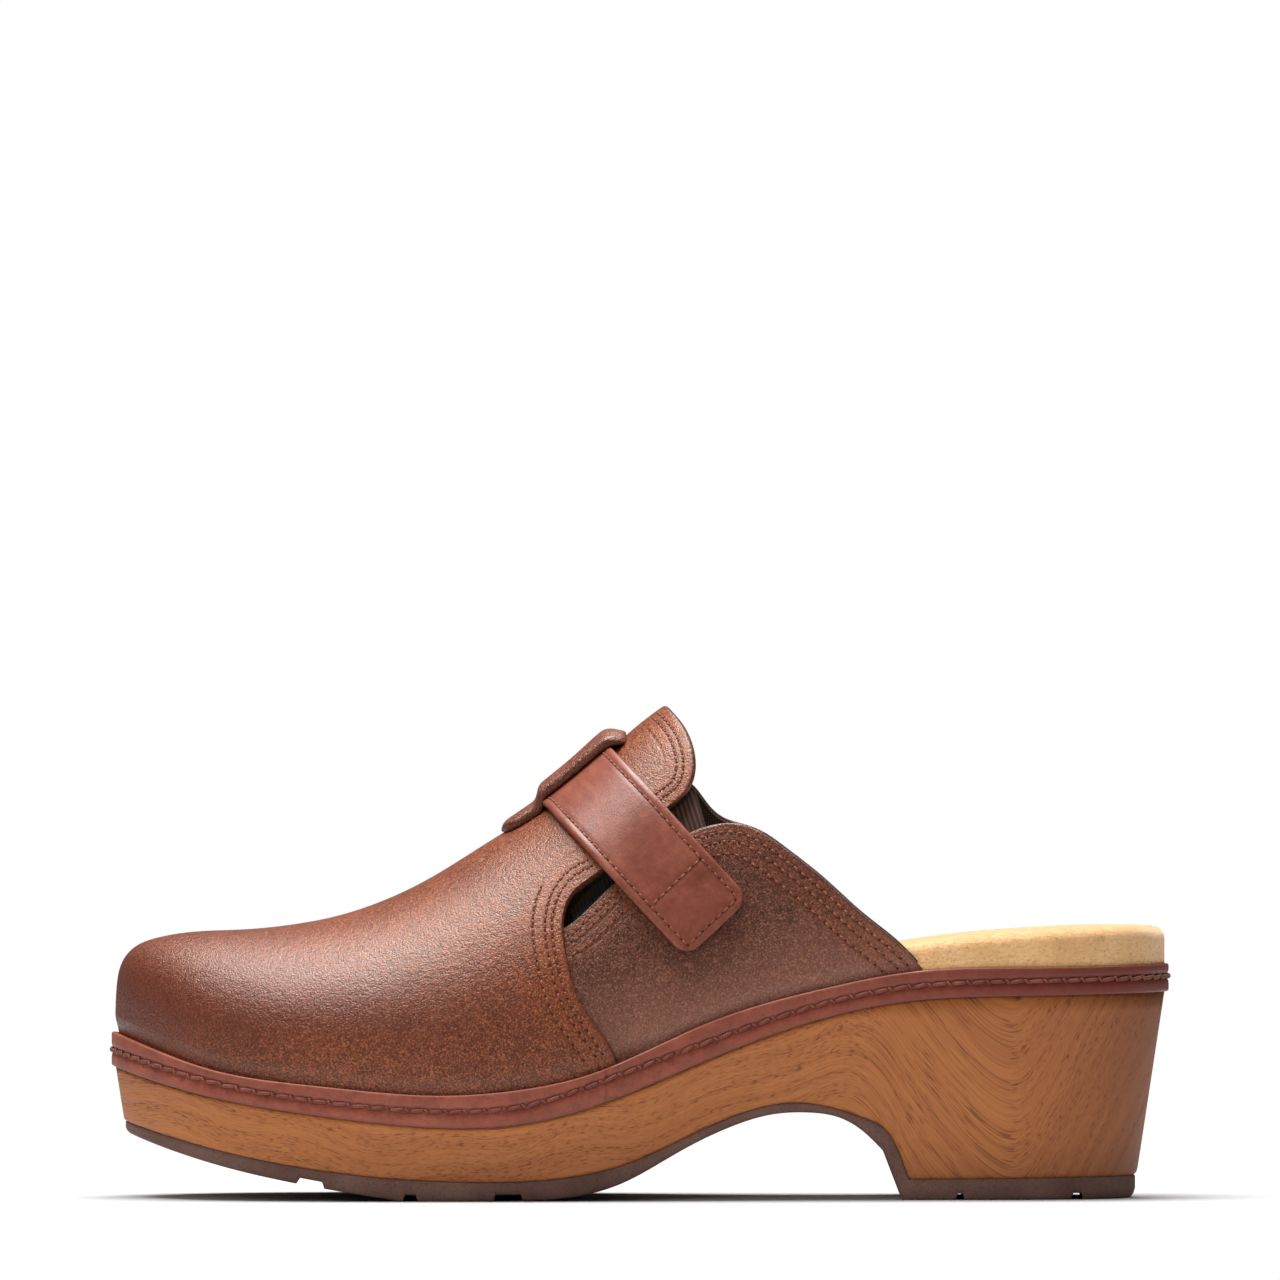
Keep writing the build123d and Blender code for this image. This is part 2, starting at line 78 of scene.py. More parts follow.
TONGUE_EDGE = [(3.5, 90.2), (7, 93.1), (10.2, 95.7), (12.2, 99.5), (12.6, 103.3), (12, 107), (9.4, 112.6),
               (5.9, 116.6)]
BACK_EDGE = [(30.1, 86.2), (34.5, 83), (43.9, 75.4), (52.6, 67.4), (62.1, 59.4)]
OUTER_CREST = [(18.6, 89.3), (23.6, 89.2)]
INNER_CREST = [(8, 98.8), (12, 98.6), (16.6, 93), (20, 90.2), (24.6, 88.6)]
QUARTER_FOOT = [(67.5, 53.4)]
SEAM_FOOT = [(64.5, 57)]        # where the quarters' stitch rows end
QUARTER_TOP = ([(-25, 61.5), (-20, 64), (-16.8, 65.8), (-7.1, 74.8), (2, 81.5), (12.7, 87.7)]
               + OUTER_CREST + BACK_EDGE + QUARTER_FOOT)
MEDIAL_TOP = [(-25, 66), (-16, 79), (1, 95)] + INNER_CREST + BACK_EDGE + QUARTER_FOOT

HALF_LENGTH = 125.3
BREAST_X, HEEL_SEAT, HEEL_SLOPE = 63.3, 4.9, 0.008      # underside of the wood from the heel's breast back
BALL_START, BALL_END = -56, -32                         # the rubber is flat on the floor between them
ARCH_END, BREAST_TOP, BREAST_FOOT, BREAST_RUN = 57.4, 11.5, 61.8, 4.4
HEEL_FLAT_END, HEEL_ROUNDING = 114, 0.06
DRAFT_FRONT, DRAFT_BACK, TOP_INSET = 3.0, 7.6, 1.0      # plan insets of the wood at the floor and the rand
GROOVES = [(-77.5, 6.0), (-54.0, 3.0), (-31.0, 6.4), (75.5, 1.6), (103.2, 2.4)]     # middle and width
GROOVE_DEPTH = 1.5
BED_ROLL, BED_PULL = 3.0, 9.0       # radius of the footbed's edge, and how far it reaches in at the ends
MARGIN_DROP = 12.0                  # height of one unit of w below the widest line
WIDE_RISE = 4                       # the upper is widest this far above the rand
RAND_THICKNESS = 1.6
UPPER_INSET = 0.9       # plan inset of the upper above the rand
PINCH = 0.9             # how much further in it is where the rand holds it
OVERLAP = 1.7           # the quarters lie this far under the vamp
LEATHER = 1.6
EDGE_ROUNDING = (0.3, 0.1, 0.02)    # extra depth of the last grid lines at a cut edge
SECTION_FRONT = -30.0


def natural_spline(knots, values):
    """Second derivatives of the natural cubic spline through values at knots."""
    n = len(knots)
    h = np.diff(knots)
    a = np.zeros((n, n))
    b = np.zeros((n,) + values.shape[1:])
    a[0, 0] = a[-1, -1] = 1
    for i in range(1, n - 1):
        a[i, i - 1], a[i, i], a[i, i + 1] = h[i - 1], 2 * (h[i - 1] + h[i]), h[i]
        b[i] = 6 * ((values[i + 1] - values[i]) / h[i] - (values[i] - values[i - 1]) / h[i - 1])
    return np.linalg.solve(a, b)


def spline_at(knots, values, second, t):
    i = np.clip(np.searchsorted(knots, t, side="right") - 1, 0, len(knots) - 2)
    h = knots[i + 1] - knots[i]
    a = (knots[i + 1] - t) / h
    b = (t - knots[i]) / h
    if values.ndim == 2:
        a, b, h = a[:, None], b[:, None], h[:, None]
    return (a * values[i] + b * values[i + 1]
            + ((a ** 3 - a) * second[i] + (b ** 3 - b) * second[i + 1]) * h ** 2 / 6)


def profile(points):
    """z as a function of x through the points."""
    p = np.array(points, float)
    second = natural_spline(p[:, 0], p[:, 1])
    return lambda x: spline_at(p[:, 0], p[:, 1], second, np.atleast_1d(np.asarray(x, float)))


def path(points, count, closed=False):
    """Points evenly along a smooth curve."""
    p = np.array(points, float)
    if closed:
        p = np.vstack([p[-4:], p, p[:4]])
    knots = np.concatenate([[0], np.cumsum(np.linalg.norm(np.diff(p, axis=0), axis=1))])
    second = natural_spline(knots, p)
    lo, hi = (knots[4], knots[-4]) if closed else (knots[0], knots[-1])
    dense = spline_at(knots, p, second, np.linspace(lo, hi, 6000))
    run = np.concatenate([[0], np.cumsum(np.linalg.norm(np.diff(dense, axis=0), axis=1))])
    at = np.linspace(0, run[-1], count, endpoint=not closed)
    return np.stack([np.interp(at, run, dense[:, k]) for k in range(dense.shape[1])], axis=1)


def polyline(points, count):
    p = np.array(points, float)
    run = np.concatenate([[0], np.cumsum(np.linalg.norm(np.diff(p, axis=0), axis=1))])
    at = np.linspace(0, run[-1], count)
    return np.stack([np.interp(at, run, p[:, k]) for k in range(p.shape[1])], axis=1)


def smooth(t):
    t = np.clip(t, 0, 1)
    return t * t * (3 - 2 * t)


rand_top = profile(RAND_TOP)
rand_bottom = profile(RAND_BOTTOM)
stitch_line = profile(STITCH_LINE)
wood_front = profile(WOOD_UNDER)
tread_front = profile(TREAD_FRONT)
tread_arch = profile(TREAD_ARCH)
footbed_line = profile(FOOTBED_TOP)


def wood_under(x):
    """Underside of the wood: a curve up to the heel's breast, then nearly level."""
    x = np.atleast_1d(x)
    heel = HEEL_SEAT + (x - BREAST_X) * HEEL_SLOPE
    return np.where(x < BREAST_X, wood_front(np.minimum(x, BREAST_X)), heel)


def tread(x):
    """Underside of the rubber without its grooves: toe spring, ball, arch, heel breast and heel."""
    x = np.atleast_1d(x)
    front = tread_front(np.minimum(x, BALL_START))
    arch = tread_arch(np.clip(x, BALL_END, ARCH_END))
    breast = BREAST_TOP * (BREAST_FOOT - x) / BREAST_RUN
    heel = np.maximum(0, x - HEEL_FLAT_END) ** 2 * HEEL_ROUNDING
    zones = [x < BALL_START, x < BALL_END, x < ARCH_END, x < BREAST_FOOT]
    return np.select(zones, [front, np.zeros_like(front), arch, breast], heel)


OUTLINE = path(PLAN, 4000, closed=True)
TANGENT = np.roll(OUTLINE, -1, axis=0) - np.roll(OUTLINE, 1, axis=0)
TANGENT /= np.linalg.norm(TANGENT, axis=1)[:, None]
INWARD = np.stack([TANGENT[:, 1], -TANGENT[:, 0]], axis=1)
if np.mean(np.sum(INWARD * OUTLINE, axis=1)) > 0:
    INWARD = -INWARD


class Plan:
    """The plan outline, inset, with its two sides as functions of x."""

    def __init__(self, front_inset, back_inset=None):
        back_inset = front_inset if back_inset is None else back_inset
        share = (OUTLINE[:, :1] + HALF_LENGTH) / (2 * HALF_LENGTH)
        p = OUTLINE + INWARD * (front_inset + (back_inset - front_inset) * share)
        self.x0, self.x1 = p[:, 0].min(), p[:, 0].max()
        start = int(np.argmax(p[:, 0]))
        p = np.roll(p, -start, axis=0)
        tip = int(np.argmin(p[:, 0]))
        one, two = p[:tip + 1], p[tip:]
        self.lat = self.side(one)
        self.med = self.side(two)

    def side(self, p):
        u = self.to_u(p[:, 0])
        order = np.argsort(u)
        return u[order], p[order, 1]

    def to_u(self, x):
        """A parameter in which the outline is smooth at both tips."""
        t = np.clip((np.asarray(x, float) - self.x0) / (self.x1 - self.x0), 0, 1)
        return np.arccos(1 - 2 * t)

    def to_x(self, u):
        return self.x0 + (self.x1 - self.x0) * (1 - np.cos(u)) / 2

    def y(self, u):
        return np.interp(u, *self.lat), np.interp(u, *self.med)


# ---------------------------------------------------------------- the upper's surface

UPPER = Plan(UPPER_INSET)
ridge_dense = path(RIDGE, 3000)
ridge_u = UPPER.to_u(np.maximum(ridge_dense[:, 0], UPPER.x0))
order = np.argsort(ridge_u, kind="stable")
RIDGE_U, RIDGE_Z = ridge_u[order], np.maximum.accumulate(ridge_dense[order, 1])


def fullness(x):
    return 2.15 - 0.25 * np.tanh((x + 50) / 30)


def ridge_y(x, lateral, medial):
    """The ridge lies midway at the toe and a little nearer the medial side behind it."""
    share = 0.5 + 0.05 * smooth((x + 120) / 100)
    return lateral + (medial - lateral) * share


def upper_raw(u, w):
    """A point of the upper's outer face. u runs from the toe, w from the lateral margin (-1), over the
    lateral wide line (0), the ridge (0.5) and the medial wide line (1) to the medial margin (2)."""
    x = UPPER.to_x(u)
    lateral, medial = UPPER.y(u)
    z_top = np.interp(u, RIDGE_U, RIDGE_Z)
    z_rand = rand_top(x.ravel()).reshape(x.shape)
    z_wide = np.minimum(z_rand + WIDE_RISE, z_top - WIDE_RISE)
    y_ridge = ridge_y(x, lateral, medial)
    arc = np.clip(w, 0, 1) * math.pi
    power = fullness(x)
    across = np.abs(np.cos(arc)) ** (2 / power)
    up = np.abs(np.sin(arc)) ** (2 / power)
    side = np.where(w < 0.5, lateral, medial)
    y = y_ridge + (side - y_ridge) * across
    below = np.maximum(-w, w - 1)
    z = z_wide + (z_top - z_wide) * up - MARGIN_DROP * np.maximum(below, 0)
    height = z - z_rand
    pinch = PINCH * (1 - smooth((height + 0.5) / 5))
    return np.stack([x, y, z], axis=-1), height, pinch


def upper_at(x, w, depth=0.0):
    """Points on the upper, depth below its outer face, and the outward normals."""
    x = np.asarray(x, float)
    w = np.asarray(w, float)
    u = UPPER.to_u(x)
    du, dw = 0.004, 0.0008
    p, _, pinch = upper_raw(u, w)
    pu = upper_raw(u + du, w)[0] - upper_raw(np.maximum(u - du, 0), w)[0]
    pw = upper_raw(u, w + dw)[0] - upper_raw(u, w - dw)[0]
    normal = np.cross(pw, pu)
    length = np.linalg.norm(normal, axis=-1, keepdims=True)
    normal = normal / np.maximum(length, 1e-9)
    lateral, medial = UPPER.y(u)
    y_ridge = ridge_y(x, lateral, medial)
    ahead = np.minimum(x - UPPER.x0 - 12, 0)
    rise = np.maximum(p[..., 2] - rand_top(x.ravel()).reshape(x.shape) - WIDE_RISE, 0)
    outward = np.stack([ahead, p[..., 1] - y_ridge, rise], axis=-1)
    outward /= np.maximum(np.linalg.norm(outward, axis=-1, keepdims=True), 1e-9)
    normal = np.where(length > 1e-7, normal, outward)
    flip = np.where(np.sum(normal * outward, axis=-1) < 0, -1.0, 1.0)
    normal = normal * flip[..., None]
    return p - normal * (pinch + depth)[..., None], normal


def arc_of(x, z, medial=False):
    """The w of a side-view point."""
    x = np.asarray(x, float)
    z = np.asarray(z, float)
    u = UPPER.to_u(x)
    z_top = np.interp(u, RIDGE_U, RIDGE_Z)
    z_wide = np.minimum(rand_top(x.ravel()).reshape(x.shape) + WIDE_RISE, z_top - WIDE_RISE)
    g = (z - z_wide) / (z_top - z_wide)
    arc = np.arcsin(np.clip(g, 0, 1) ** (fullness(x) / 2)) / math.pi
    w = np.where(g < 0, (z - z_wide) / MARGIN_DROP, arc)
    return 1 - w if medial else w


def relief(x, height):
    """How much of the overlap a quarter makes up low down, where the vamp no longer covers it."""
    return OVERLAP * smooth((x + 4) / 12) * (1 - smooth(height / 26))


# ---------------------------------------------------------------- meshes

def make_mesh(name, verts, faces, uv=None, merge=0.0, edge=None):
    """An object from millimetre points. uv holds one pair for each point."""
    mesh = bpy.data.meshes.new(name)
    mesh.from_pydata((np.asarray(verts) * MM).tolist(), [], faces)
    if uv is not None:
        layer = mesh.uv_layers.new(name="UVMap")
        loops = np.empty(len(mesh.loops), dtype=np.int32)
        mesh.loops.foreach_get("vertex_index", loops)
        layer.data.foreach_set("uv", np.asarray(uv, np.float32)[loops].ravel())
    if edge is not None:
        mesh.attributes.new("edge", "FLOAT", "POINT").data.foreach_set("value", np.asarray(edge, np.float32))
    mesh.update()
    bm = bmesh.new()
    bm.from_mesh(mesh)
    if merge:
        bmesh.ops.remove_doubles(bm, verts=bm.verts, dist=merge * MM)
    bmesh.ops.recalc_face_normals(bm, faces=bm.faces)
    bm.to_mesh(mesh)
    bm.free()
    mesh.validate()
    mesh.shade_smooth()
    obj = bpy.data.objects.new(name, mesh)
    bpy.context.scene.collection.objects.link(obj)
    return obj


def grid_faces(rows, cols, start=0, flip=False, wrap_rows=False, wrap_cols=False):
    faces = []
    for i in range(rows if wrap_rows else rows - 1):
        for j in range(cols if wrap_cols else cols - 1):
            a = start + i * cols + j
            b = start + i * cols + (j + 1) % cols
            c = start + ((i + 1) % rows) * cols + (j + 1) % cols
            d = start + ((i + 1) % rows) * cols + j
            faces.append((a, d, c, b) if flip else (a, b, c, d))
    return faces


def shell(name, outer, inner, uv_outer, bevel=0.45, edge=None):
    """A closed sheet from two grids of the same shape, with softly rounded edges on every side."""
    rows, cols = outer.shape[:2]
    middle = (outer + inner) / 2
    verts = [outer.reshape(-1, 3), inner.reshape(-1, 3)]
    uvs = [uv_outer.reshape(-1, 2), uv_outer.reshape(-1, 2) + 0.37]
    faces = grid_faces(rows, cols) + grid_faces(rows, cols, rows * cols, flip=True)
    ring = ([(0, j) for j in range(cols)] + [(i, cols - 1) for i in range(1, rows)]
            + [(rows - 1, j) for j in range(cols - 2, -1, -1)] + [(i, 0) for i in range(rows - 2, 0, -1)])
    ri = np.array([r[0] for r in ring])
    rj = np.array([r[1] for r in ring])
    inward_i = np.clip(ri, 1, rows - 2)
    inward_j = np.clip(rj, 1, cols - 2)
    out = middle[ri, rj] - middle[inward_i, inward_j]
    out /= np.maximum(np.linalg.norm(out, axis=1, keepdims=True), 1e-9)
    base = rows * cols * 2
    layers = []
    for t in (0.18, 0.5, 0.82):
        swell = bevel * math.sin(math.pi * t)
        layers.append(outer[ri, rj] * (1 - t) + inner[ri, rj] * t + out * swell)
    verts += layers
    uvs += [uv_outer[ri, rj]] * 3
    n = len(ring)
    outer_id = ri * cols + rj
    inner_id = outer_id + rows * cols
    chain = [outer_id, base + np.arange(n), base + n + np.arange(n), base + 2 * n + np.arange(n), inner_id]
    for a, b in zip(chain[:-1], chain[1:]):
        for k in range(n):
            m = (k + 1) % n
            faces.append((int(a[k]), int(b[k]), int(b[m]), int(a[m])))
    if edge is not None:
        edge = np.concatenate([edge.ravel(), edge.ravel()] + [edge[ri, rj]] * 3)
    return make_mesh(name, np.vstack(verts), faces, np.vstack(uvs), edge=edge)


def distance_to(points, x, z):
    """Side-view distance of each place from a curve."""
    tree = KDTree(len(points))
    for k, (px, pz) in enumerate(points):
        tree.insert((px, pz, 0.0), k)
    tree.balance()
    flat = zip(np.ravel(x), np.ravel(z))
    return np.array([tree.find((px, pz, 0.0))[2] for px, pz in flat]).reshape(np.shape(x))


def stitch_mesh(name, centres, along, normals, length, radius, tilt=0.0, lift=0.0):
    """One small raised thread for each centre, its ends sunk in the surface."""
    verts, faces, uvs = [], [], []
    rings, sides = 7, 6
    for k in range(len(centres)):
        n = normals[k] / np.linalg.norm(normals[k])
        t = along[k] - n * np.dot(along[k], n)
        t /= np.linalg.norm(t)
        b = np.cross(n, t)
        angle = tilt + rng.normal(0, 0.05)
        t, b = t * math.cos(angle) + b * math.sin(angle), b * math.cos(angle) - t * math.sin(angle)
        here = length * (1 + rng.normal(0, 0.04))
        first = len(verts)
        for i in range(rings):
            s = i / (rings - 1) * 2 - 1
            bulge = math.sqrt(max(0.0, 1 - abs(s) ** 3))
            centre = centres[k] + t * (s * here / 2) + n * (lift - radius * 1.3 * abs(s) ** 2.5)
            r = radius * (0.45 + 0.55 * bulge)
            for j in range(sides):
                a = 2 * math.pi * j / sides
                verts.append(centre + b * (math.cos(a) * r) + n * (math.sin(a) * r))
                uvs.append((s * here / 2, k * 1.7 + j / sides))
        for i in range(rings - 1):
            for j in range(sides):
                a0 = first + i * sides + j
                a1 = first + i * sides + (j + 1) % sides
                faces.append((a0, a1, a1 + sides, a0 + sides))
        faces.append(tuple(first + j for j in range(sides - 1, -1, -1)))
        faces.append(tuple(first + (rings - 1) * sides + j for j in range(sides)))
    return make_mesh(name, verts, faces, uvs)


# ---------------------------------------------------------------- sole unit

def stations(count):
    return np.linspace(0, math.pi, count)


def block(name, levels, low, high, count=420, across=26, uv_of=None):
    """A solid between side-view heights low and high. levels is a list of (plan, share, shift): a plan
    outline, how far up the wall it lies, and a height added there."""
    u = stations(count)
    rows = []
    for plan, share, shift in levels:
        x = plan.to_x(u)
        rows.append((x, *plan.y(u), low(x) * (1 - share) + high(x) * share + shift))

    def level(x, start, end, z):
        return [np.stack([x, start * (1 - t) + end * t, z], axis=1) for t in np.arange(1, across) / across]

    x, lateral, medial, z = rows[-1]
    ring = [np.stack([row[0], row[1], row[3]], axis=1) for row in rows] + level(x, lateral, medial, z)
    x, lateral, medial, z = rows[0]
    ring += [np.stack([row[0], row[2], row[3]], axis=1) for row in rows[::-1]] + level(x, medial, lateral, z)
    faces = grid_faces(len(ring), count, wrap_rows=True)
    flat = np.concatenate(ring)
    uv = uv_of(flat) if uv_of else flat[:, [0, 2]]
    return make_mesh(name, flat, faces, uv, merge=0.004)


def wood_plan(extra, share):
    """The drafted outline at a share of the height from the floor to the rand."""
    front, back = [foot + (TOP_INSET - foot) * share + extra for foot in (DRAFT_FRONT, DRAFT_BACK)]
    return Plan(front, back)


def grain_uv(p):
    """Wood coordinates in centimetres: along the figure, and across it (the ring number)."""
    x, z = p[:, 0], p[:, 2]
    middle = (wood_under(np.clip(x, -124, 63)) + rand_bottom(x)) / 2
    fore = (z - middle) * 0.9 + 1.6 * np.sin(x / 13.0) + 0.9 * np.sin(x / 5.1 + 1.3)
    left = np.where(x < 88, 1.35, 2.1)
    heel = z - np.sqrt((left * (x - 88)) ** 2 + 11.0 ** 2) + 11.0
    blend = smooth((x - 40) / 28)
    across = fore * (1 - blend) + (heel * 0.55 + 3) * blend
    along = x * (1 - 0.45 * blend) + (z * 0.8) * blend
    return np.stack([along / 10, across / 10], axis=1)


def build_platform():
    lip = 0.7
    levels = []
    for share in (0.0, 0.015, 0.04, 0.1, 0.2, 0.3, 0.4, 0.5, 0.6, 0.7, 0.8, 0.9, 1.0):
        extra = lip * (1 - math.sqrt(1 - (1 - min(share / 0.04, 1)) ** 2))
        levels.append((wood_plan(extra, share), share, 0.0))
    for inset, rise in ((3.4, 0.0), (3.4, 3.6)):
        levels.append((Plan(inset), 1.0, rise))
    obj = block("wood_platform", levels, wood_under, rand_bottom, uv_of=grain_uv)
    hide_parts("wooden_platform")
    return obj


def tread_cut(x):
    """Height of the outsole's underside with its cross grooves."""
    z = tread(x)
    for centre, wide in GROOVES:
        edge = np.abs(x - centre) - wide / 2
        z = z + GROOVE_DEPTH * smooth(0.5 - edge / 0.5)
    return z


def build_outsole():
    levels = []
    for share in (0.0, 0.12, 0.35, 0.7, 0.93, 1.0):
        extra = 0.35 + 0.8 * max(0.0, 1 - share / 0.35) ** 2 + 0.25 * max(0.0, (share - 0.93) / 0.07)
        levels.append((wood_plan(extra, 0.0), share, 0.0))
    obj = block("rubber_outsole", levels, tread_cut, wood_under, count=1100)
    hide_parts("outsole")
    return obj


def outline_at(count, inset):
    """Points, tangents and inward normals evenly along the inset outline, and its length."""
    p = OUTLINE + INWARD * inset
    run = np.concatenate([[0], np.cumsum(np.linalg.norm(np.diff(np.vstack([p, p[:1]]), axis=0), axis=1))])
    at = np.linspace(0, run[-1], count, endpoint=False)
    sampled = [np.stack([np.interp(at, run, np.append(q[:, k], q[0, k])) for k in range(2)], 1)
               for q in (p, TANGENT, INWARD)]
    return (*sampled, run[-1])


RAND_SEAM_X = -8.0
RAND_FOOT = [(RAND_THICKNESS, 0.0), (0.35, 0.0), (0.1, 0.15), (0.0, 0.5)]       # inset and rise
RAND_CHANNEL = [(0.0, -1.7), (0.08, -1.1), (0.34, -0.7), (0.5, -0.3),
                (0.5, 0.3), (0.34, 0.7), (0.08, 1.1), (0.0, 1.7)]               # about the stitch line
RAND_HEAD = [(0.0, 0.55), (0.07, 0.25), (0.25, 0.06), (0.6, 0.0), (1.3, 0.1), (RAND_THICKNESS, 0.5)]


def build_rand():
    """The strip round the platform, with a stitch channel and one butt seam on the lateral side."""
    count = 1500
    p, _, inn, length = outline_at(count, 0.0)
    x = p[:, 0]
    low, high, mid = rand_bottom(x), rand_top(x), stitch_line(x)
    seam_dent = np.exp(-((x - RAND_SEAM_X - (high - low) * 0.05) / 0.35) ** 2) * (p[:, 1] < 0) * 0.45
    rings = ([(inset, low + rise) for inset, rise in RAND_FOOT]
             + [(inset, mid + rise) for inset, rise in RAND_CHANNEL]
             + [(inset, high - drop) for inset, drop in RAND_HEAD])
    loops = [np.column_stack([p + inn * (inset + seam_dent)[:, None], z]) for inset, z in rings]
    loops.append(np.column_stack([p + inn * RAND_THICKNESS, (low + high) / 2]))
    grid = np.stack(loops)
    along = np.arange(count) / count * length
    share = (grid[..., 2] - low) / (high - low)
    uv = np.stack([np.broadcast_to(along, grid.shape[:2]), share], axis=-1)
    faces = grid_faces(grid.shape[0], count, wrap_rows=True, wrap_cols=True)
    obj = make_mesh("rand_strip", grid.reshape(-1, 3), faces, uv.reshape(-1, 2))
    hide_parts("rand")
    return obj


def build_rand_stitches():
    """The rand's long stitches, and a short slanting knot between each two."""
    count = 128
    p, tan, inn, length = outline_at(count, 0.05)
    z = stitch_line(p[:, 0])
    slope = stitch_line(p[:, 0] + tan[:, 0]) - z
    centres = np.column_stack([p, z])
    along = np.column_stack([tan, slope])
    normals = np.column_stack([-inn, np.zeros(count)])
    pitch = length / count
    long = stitch_mesh("rand_thread", centres, along, normals, pitch * 0.93, 0.5, tilt=0.12, lift=0.08)
    knots_at = centres + along * (pitch / 2)
    knots = stitch_mesh("rand_knots", knots_at, along, normals, 1.9, 0.36, tilt=-0.75, lift=0.1)
    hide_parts("rand_stitching")
    return long, knots


def build_footbed():
    """The cushioned footbed: a crowned slab with rolled edges, wide at the heel, with a shallow heel cup."""
    count, across = 360, 60
    u = stations(count)
    wide, narrow = Plan(1.0), Plan(6.6)
    x = wide.to_x(u)
    at_heel = smooth((x - 60) / 9)
    x = np.where(x < 0, narrow.to_x(u), x)
    lateral, medial = [thin * (1 - at_heel) + broad * at_heel
                       for thin, broad in zip(narrow.y(narrow.to_u(x)), wide.y(u))]
    top = footbed_line(x)
    base = rand_top(x) - 1.0
    side_roll = np.minimum(BED_ROLL, 0.45 * (medial - lateral))
    walls = []
    for side, way in ((lateral, 1), (medial, -1)):
        wall = []
        for t in np.linspace(0, 1, 5)[:-1]:
            waist = way * 0.35 * (1 - math.sin(math.pi * t)) * 0.5
            wall.append((side + waist, base + (top - BED_ROLL - base) * t))
        for a in np.linspace(0, math.pi / 2, 9):
            wall.append((side + way * side_roll * (1 - math.cos(a)), top - BED_ROLL * (1 - math.sin(a))))
        walls.append(wall)
    (y0, z0), (y1, z1) = walls[0][-1], walls[1][-1]
    cup, fade = smooth((x - 40) / 40), smooth((y1 - y0) / 30)
    crowned = []
    for k in range(1, across):
        t = k / across
        crown = 0.5 * np.sin(math.pi * t) ** 0.7 - 1.1 * np.exp(-((t - 0.5) / 0.28) ** 2) * cup
        crowned.append((y0 * (1 - t) + y1 * t, z0 * (1 - t) + z1 * t + crown * fade))
    grid = np.stack([np.column_stack([x, y, z]) for y, z in walls[0] + crowned + walls[1][::-1]])
    # pull the two ends in so that the edge rolls over all round
    for end, way in ((x.max(), 1), (x.min(), -1)):
        inward = np.clip((end - grid[..., 0]) * way, 0, BED_PULL)
        height = np.clip((grid[..., 2] - (top - BED_ROLL)) / BED_ROLL, 0, 1)
        rolled = 1 - np.sqrt(np.clip(1 - height ** 2, 0, 1))
        grid[..., 0] -= way * BED_ROLL * rolled * (1 - inward / BED_PULL) ** 1.5 * 0.95
    faces = grid_faces(grid.shape[0], count, wrap_rows=True)
    flat = grid.reshape(-1, 3)
    obj = make_mesh("footbed", flat, faces, flat[:, :2], merge=0.004)
    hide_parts("footbed_cover", "footbed_foam", "insole_board")
    return obj


# ---------------------------------------------------------------- upper pieces

def vamp_end():
    """Where each row of the vamp ends, as (w, x) along the lateral edge up to the ridge."""
    between = polyline([VAMP_EDGE[-1], TONGUE_EDGE[0]], 60)
    edge = np.vstack([path(VAMP_EDGE, 300), between[1:], path(TONGUE_EDGE, 300)[1:]])
    w = arc_of(edge[:, 0], edge[:, 1])
    w[-1] = 0.5
    w = np.maximum.accumulate(w + np.arange(len(w)) * 1e-7)
    return w, edge[:, 0]


VAMP_W, VAMP_X = vamp_end()


def row_ws():
    """The w of each row of the vamp, closer together at the wide lines and the ridge."""
    low = np.linspace(-0.75, 0, 9)[:-1]
    arc = 0.5 * (1 - np.cos(np.linspace(0, math.pi, 150))) / 2
    mixed = 0.5 * arc / arc[-1] + 0.5 * np.linspace(0, 0.5, 150)
    lateral = np.concatenate([low, mixed * 0.5 / mixed[-1]])
    return np.concatenate([lateral, (1 - lateral[:-1])[::-1]])


def vamp_grid(trim=0.0):
    """Grid of (x, w) over the vamp, its last columns close to the cut edge."""
    w = row_ws()
    mirror = np.minimum(w, 1 - w)
    end = np.interp(mirror, VAMP_W, VAMP_X) - trim
    front_u = np.linspace(0, 1, 150)
    start_x = UPPER.x0 + (SECTION_FRONT - UPPER.x0) * front_u ** 2
    tail = np.linspace(0, 1, 52)[1:]
    tail = 1 - (1 - tail) ** 1.35
    x = np.empty((len(w), len(start_x) + len(tail)))
    for i in range(len(w)):
        x[i, :len(start_x)] = start_x
        x[i, len(start_x):] = SECTION_FRONT + (end[i] - SECTION_FRONT) * tail
    return x, np.broadcast_to(w[:, None], x.shape)


def surface_uv(x, w):
    """Flat coordinates in millimetres for the leather's texture."""
    return np.stack([x, w * 110.0], axis=-1)


def edge_curl(shape):
    """Extra depth at the last columns, so that a cut edge is softly rounded."""
    extra = np.zeros(shape)
    for k, d in enumerate(EDGE_ROUNDING):
        extra[:, -1 - k] += d
    return extra


def build_vamp():
    x, w = vamp_grid()
    wave = 0.10 * np.sin(x / 3.3 + 9 * w) * np.sin(w * 40)
    outer, _ = upper_at(x, w, edge_curl(x.shape) + wave * 0.25)
    inner, _ = upper_at(x, w, LEATHER)
    plain, _ = upper_at(x, w)
    rim = path(VAMP_EDGE + TONGUE_EDGE, 900)
    away = distance_to(rim, plain[..., 0], plain[..., 2])
    obj = shell("vamp_leather", outer, inner, surface_uv(x, w), edge=away)
    bm = bmesh.new()
    bm.from_mesh(obj.data)
    bmesh.ops.remove_doubles(bm, verts=bm.verts, dist=0.004 * MM)
    bm.to_mesh(obj.data)
    bm.free()
    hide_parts("vamp")
    return obj


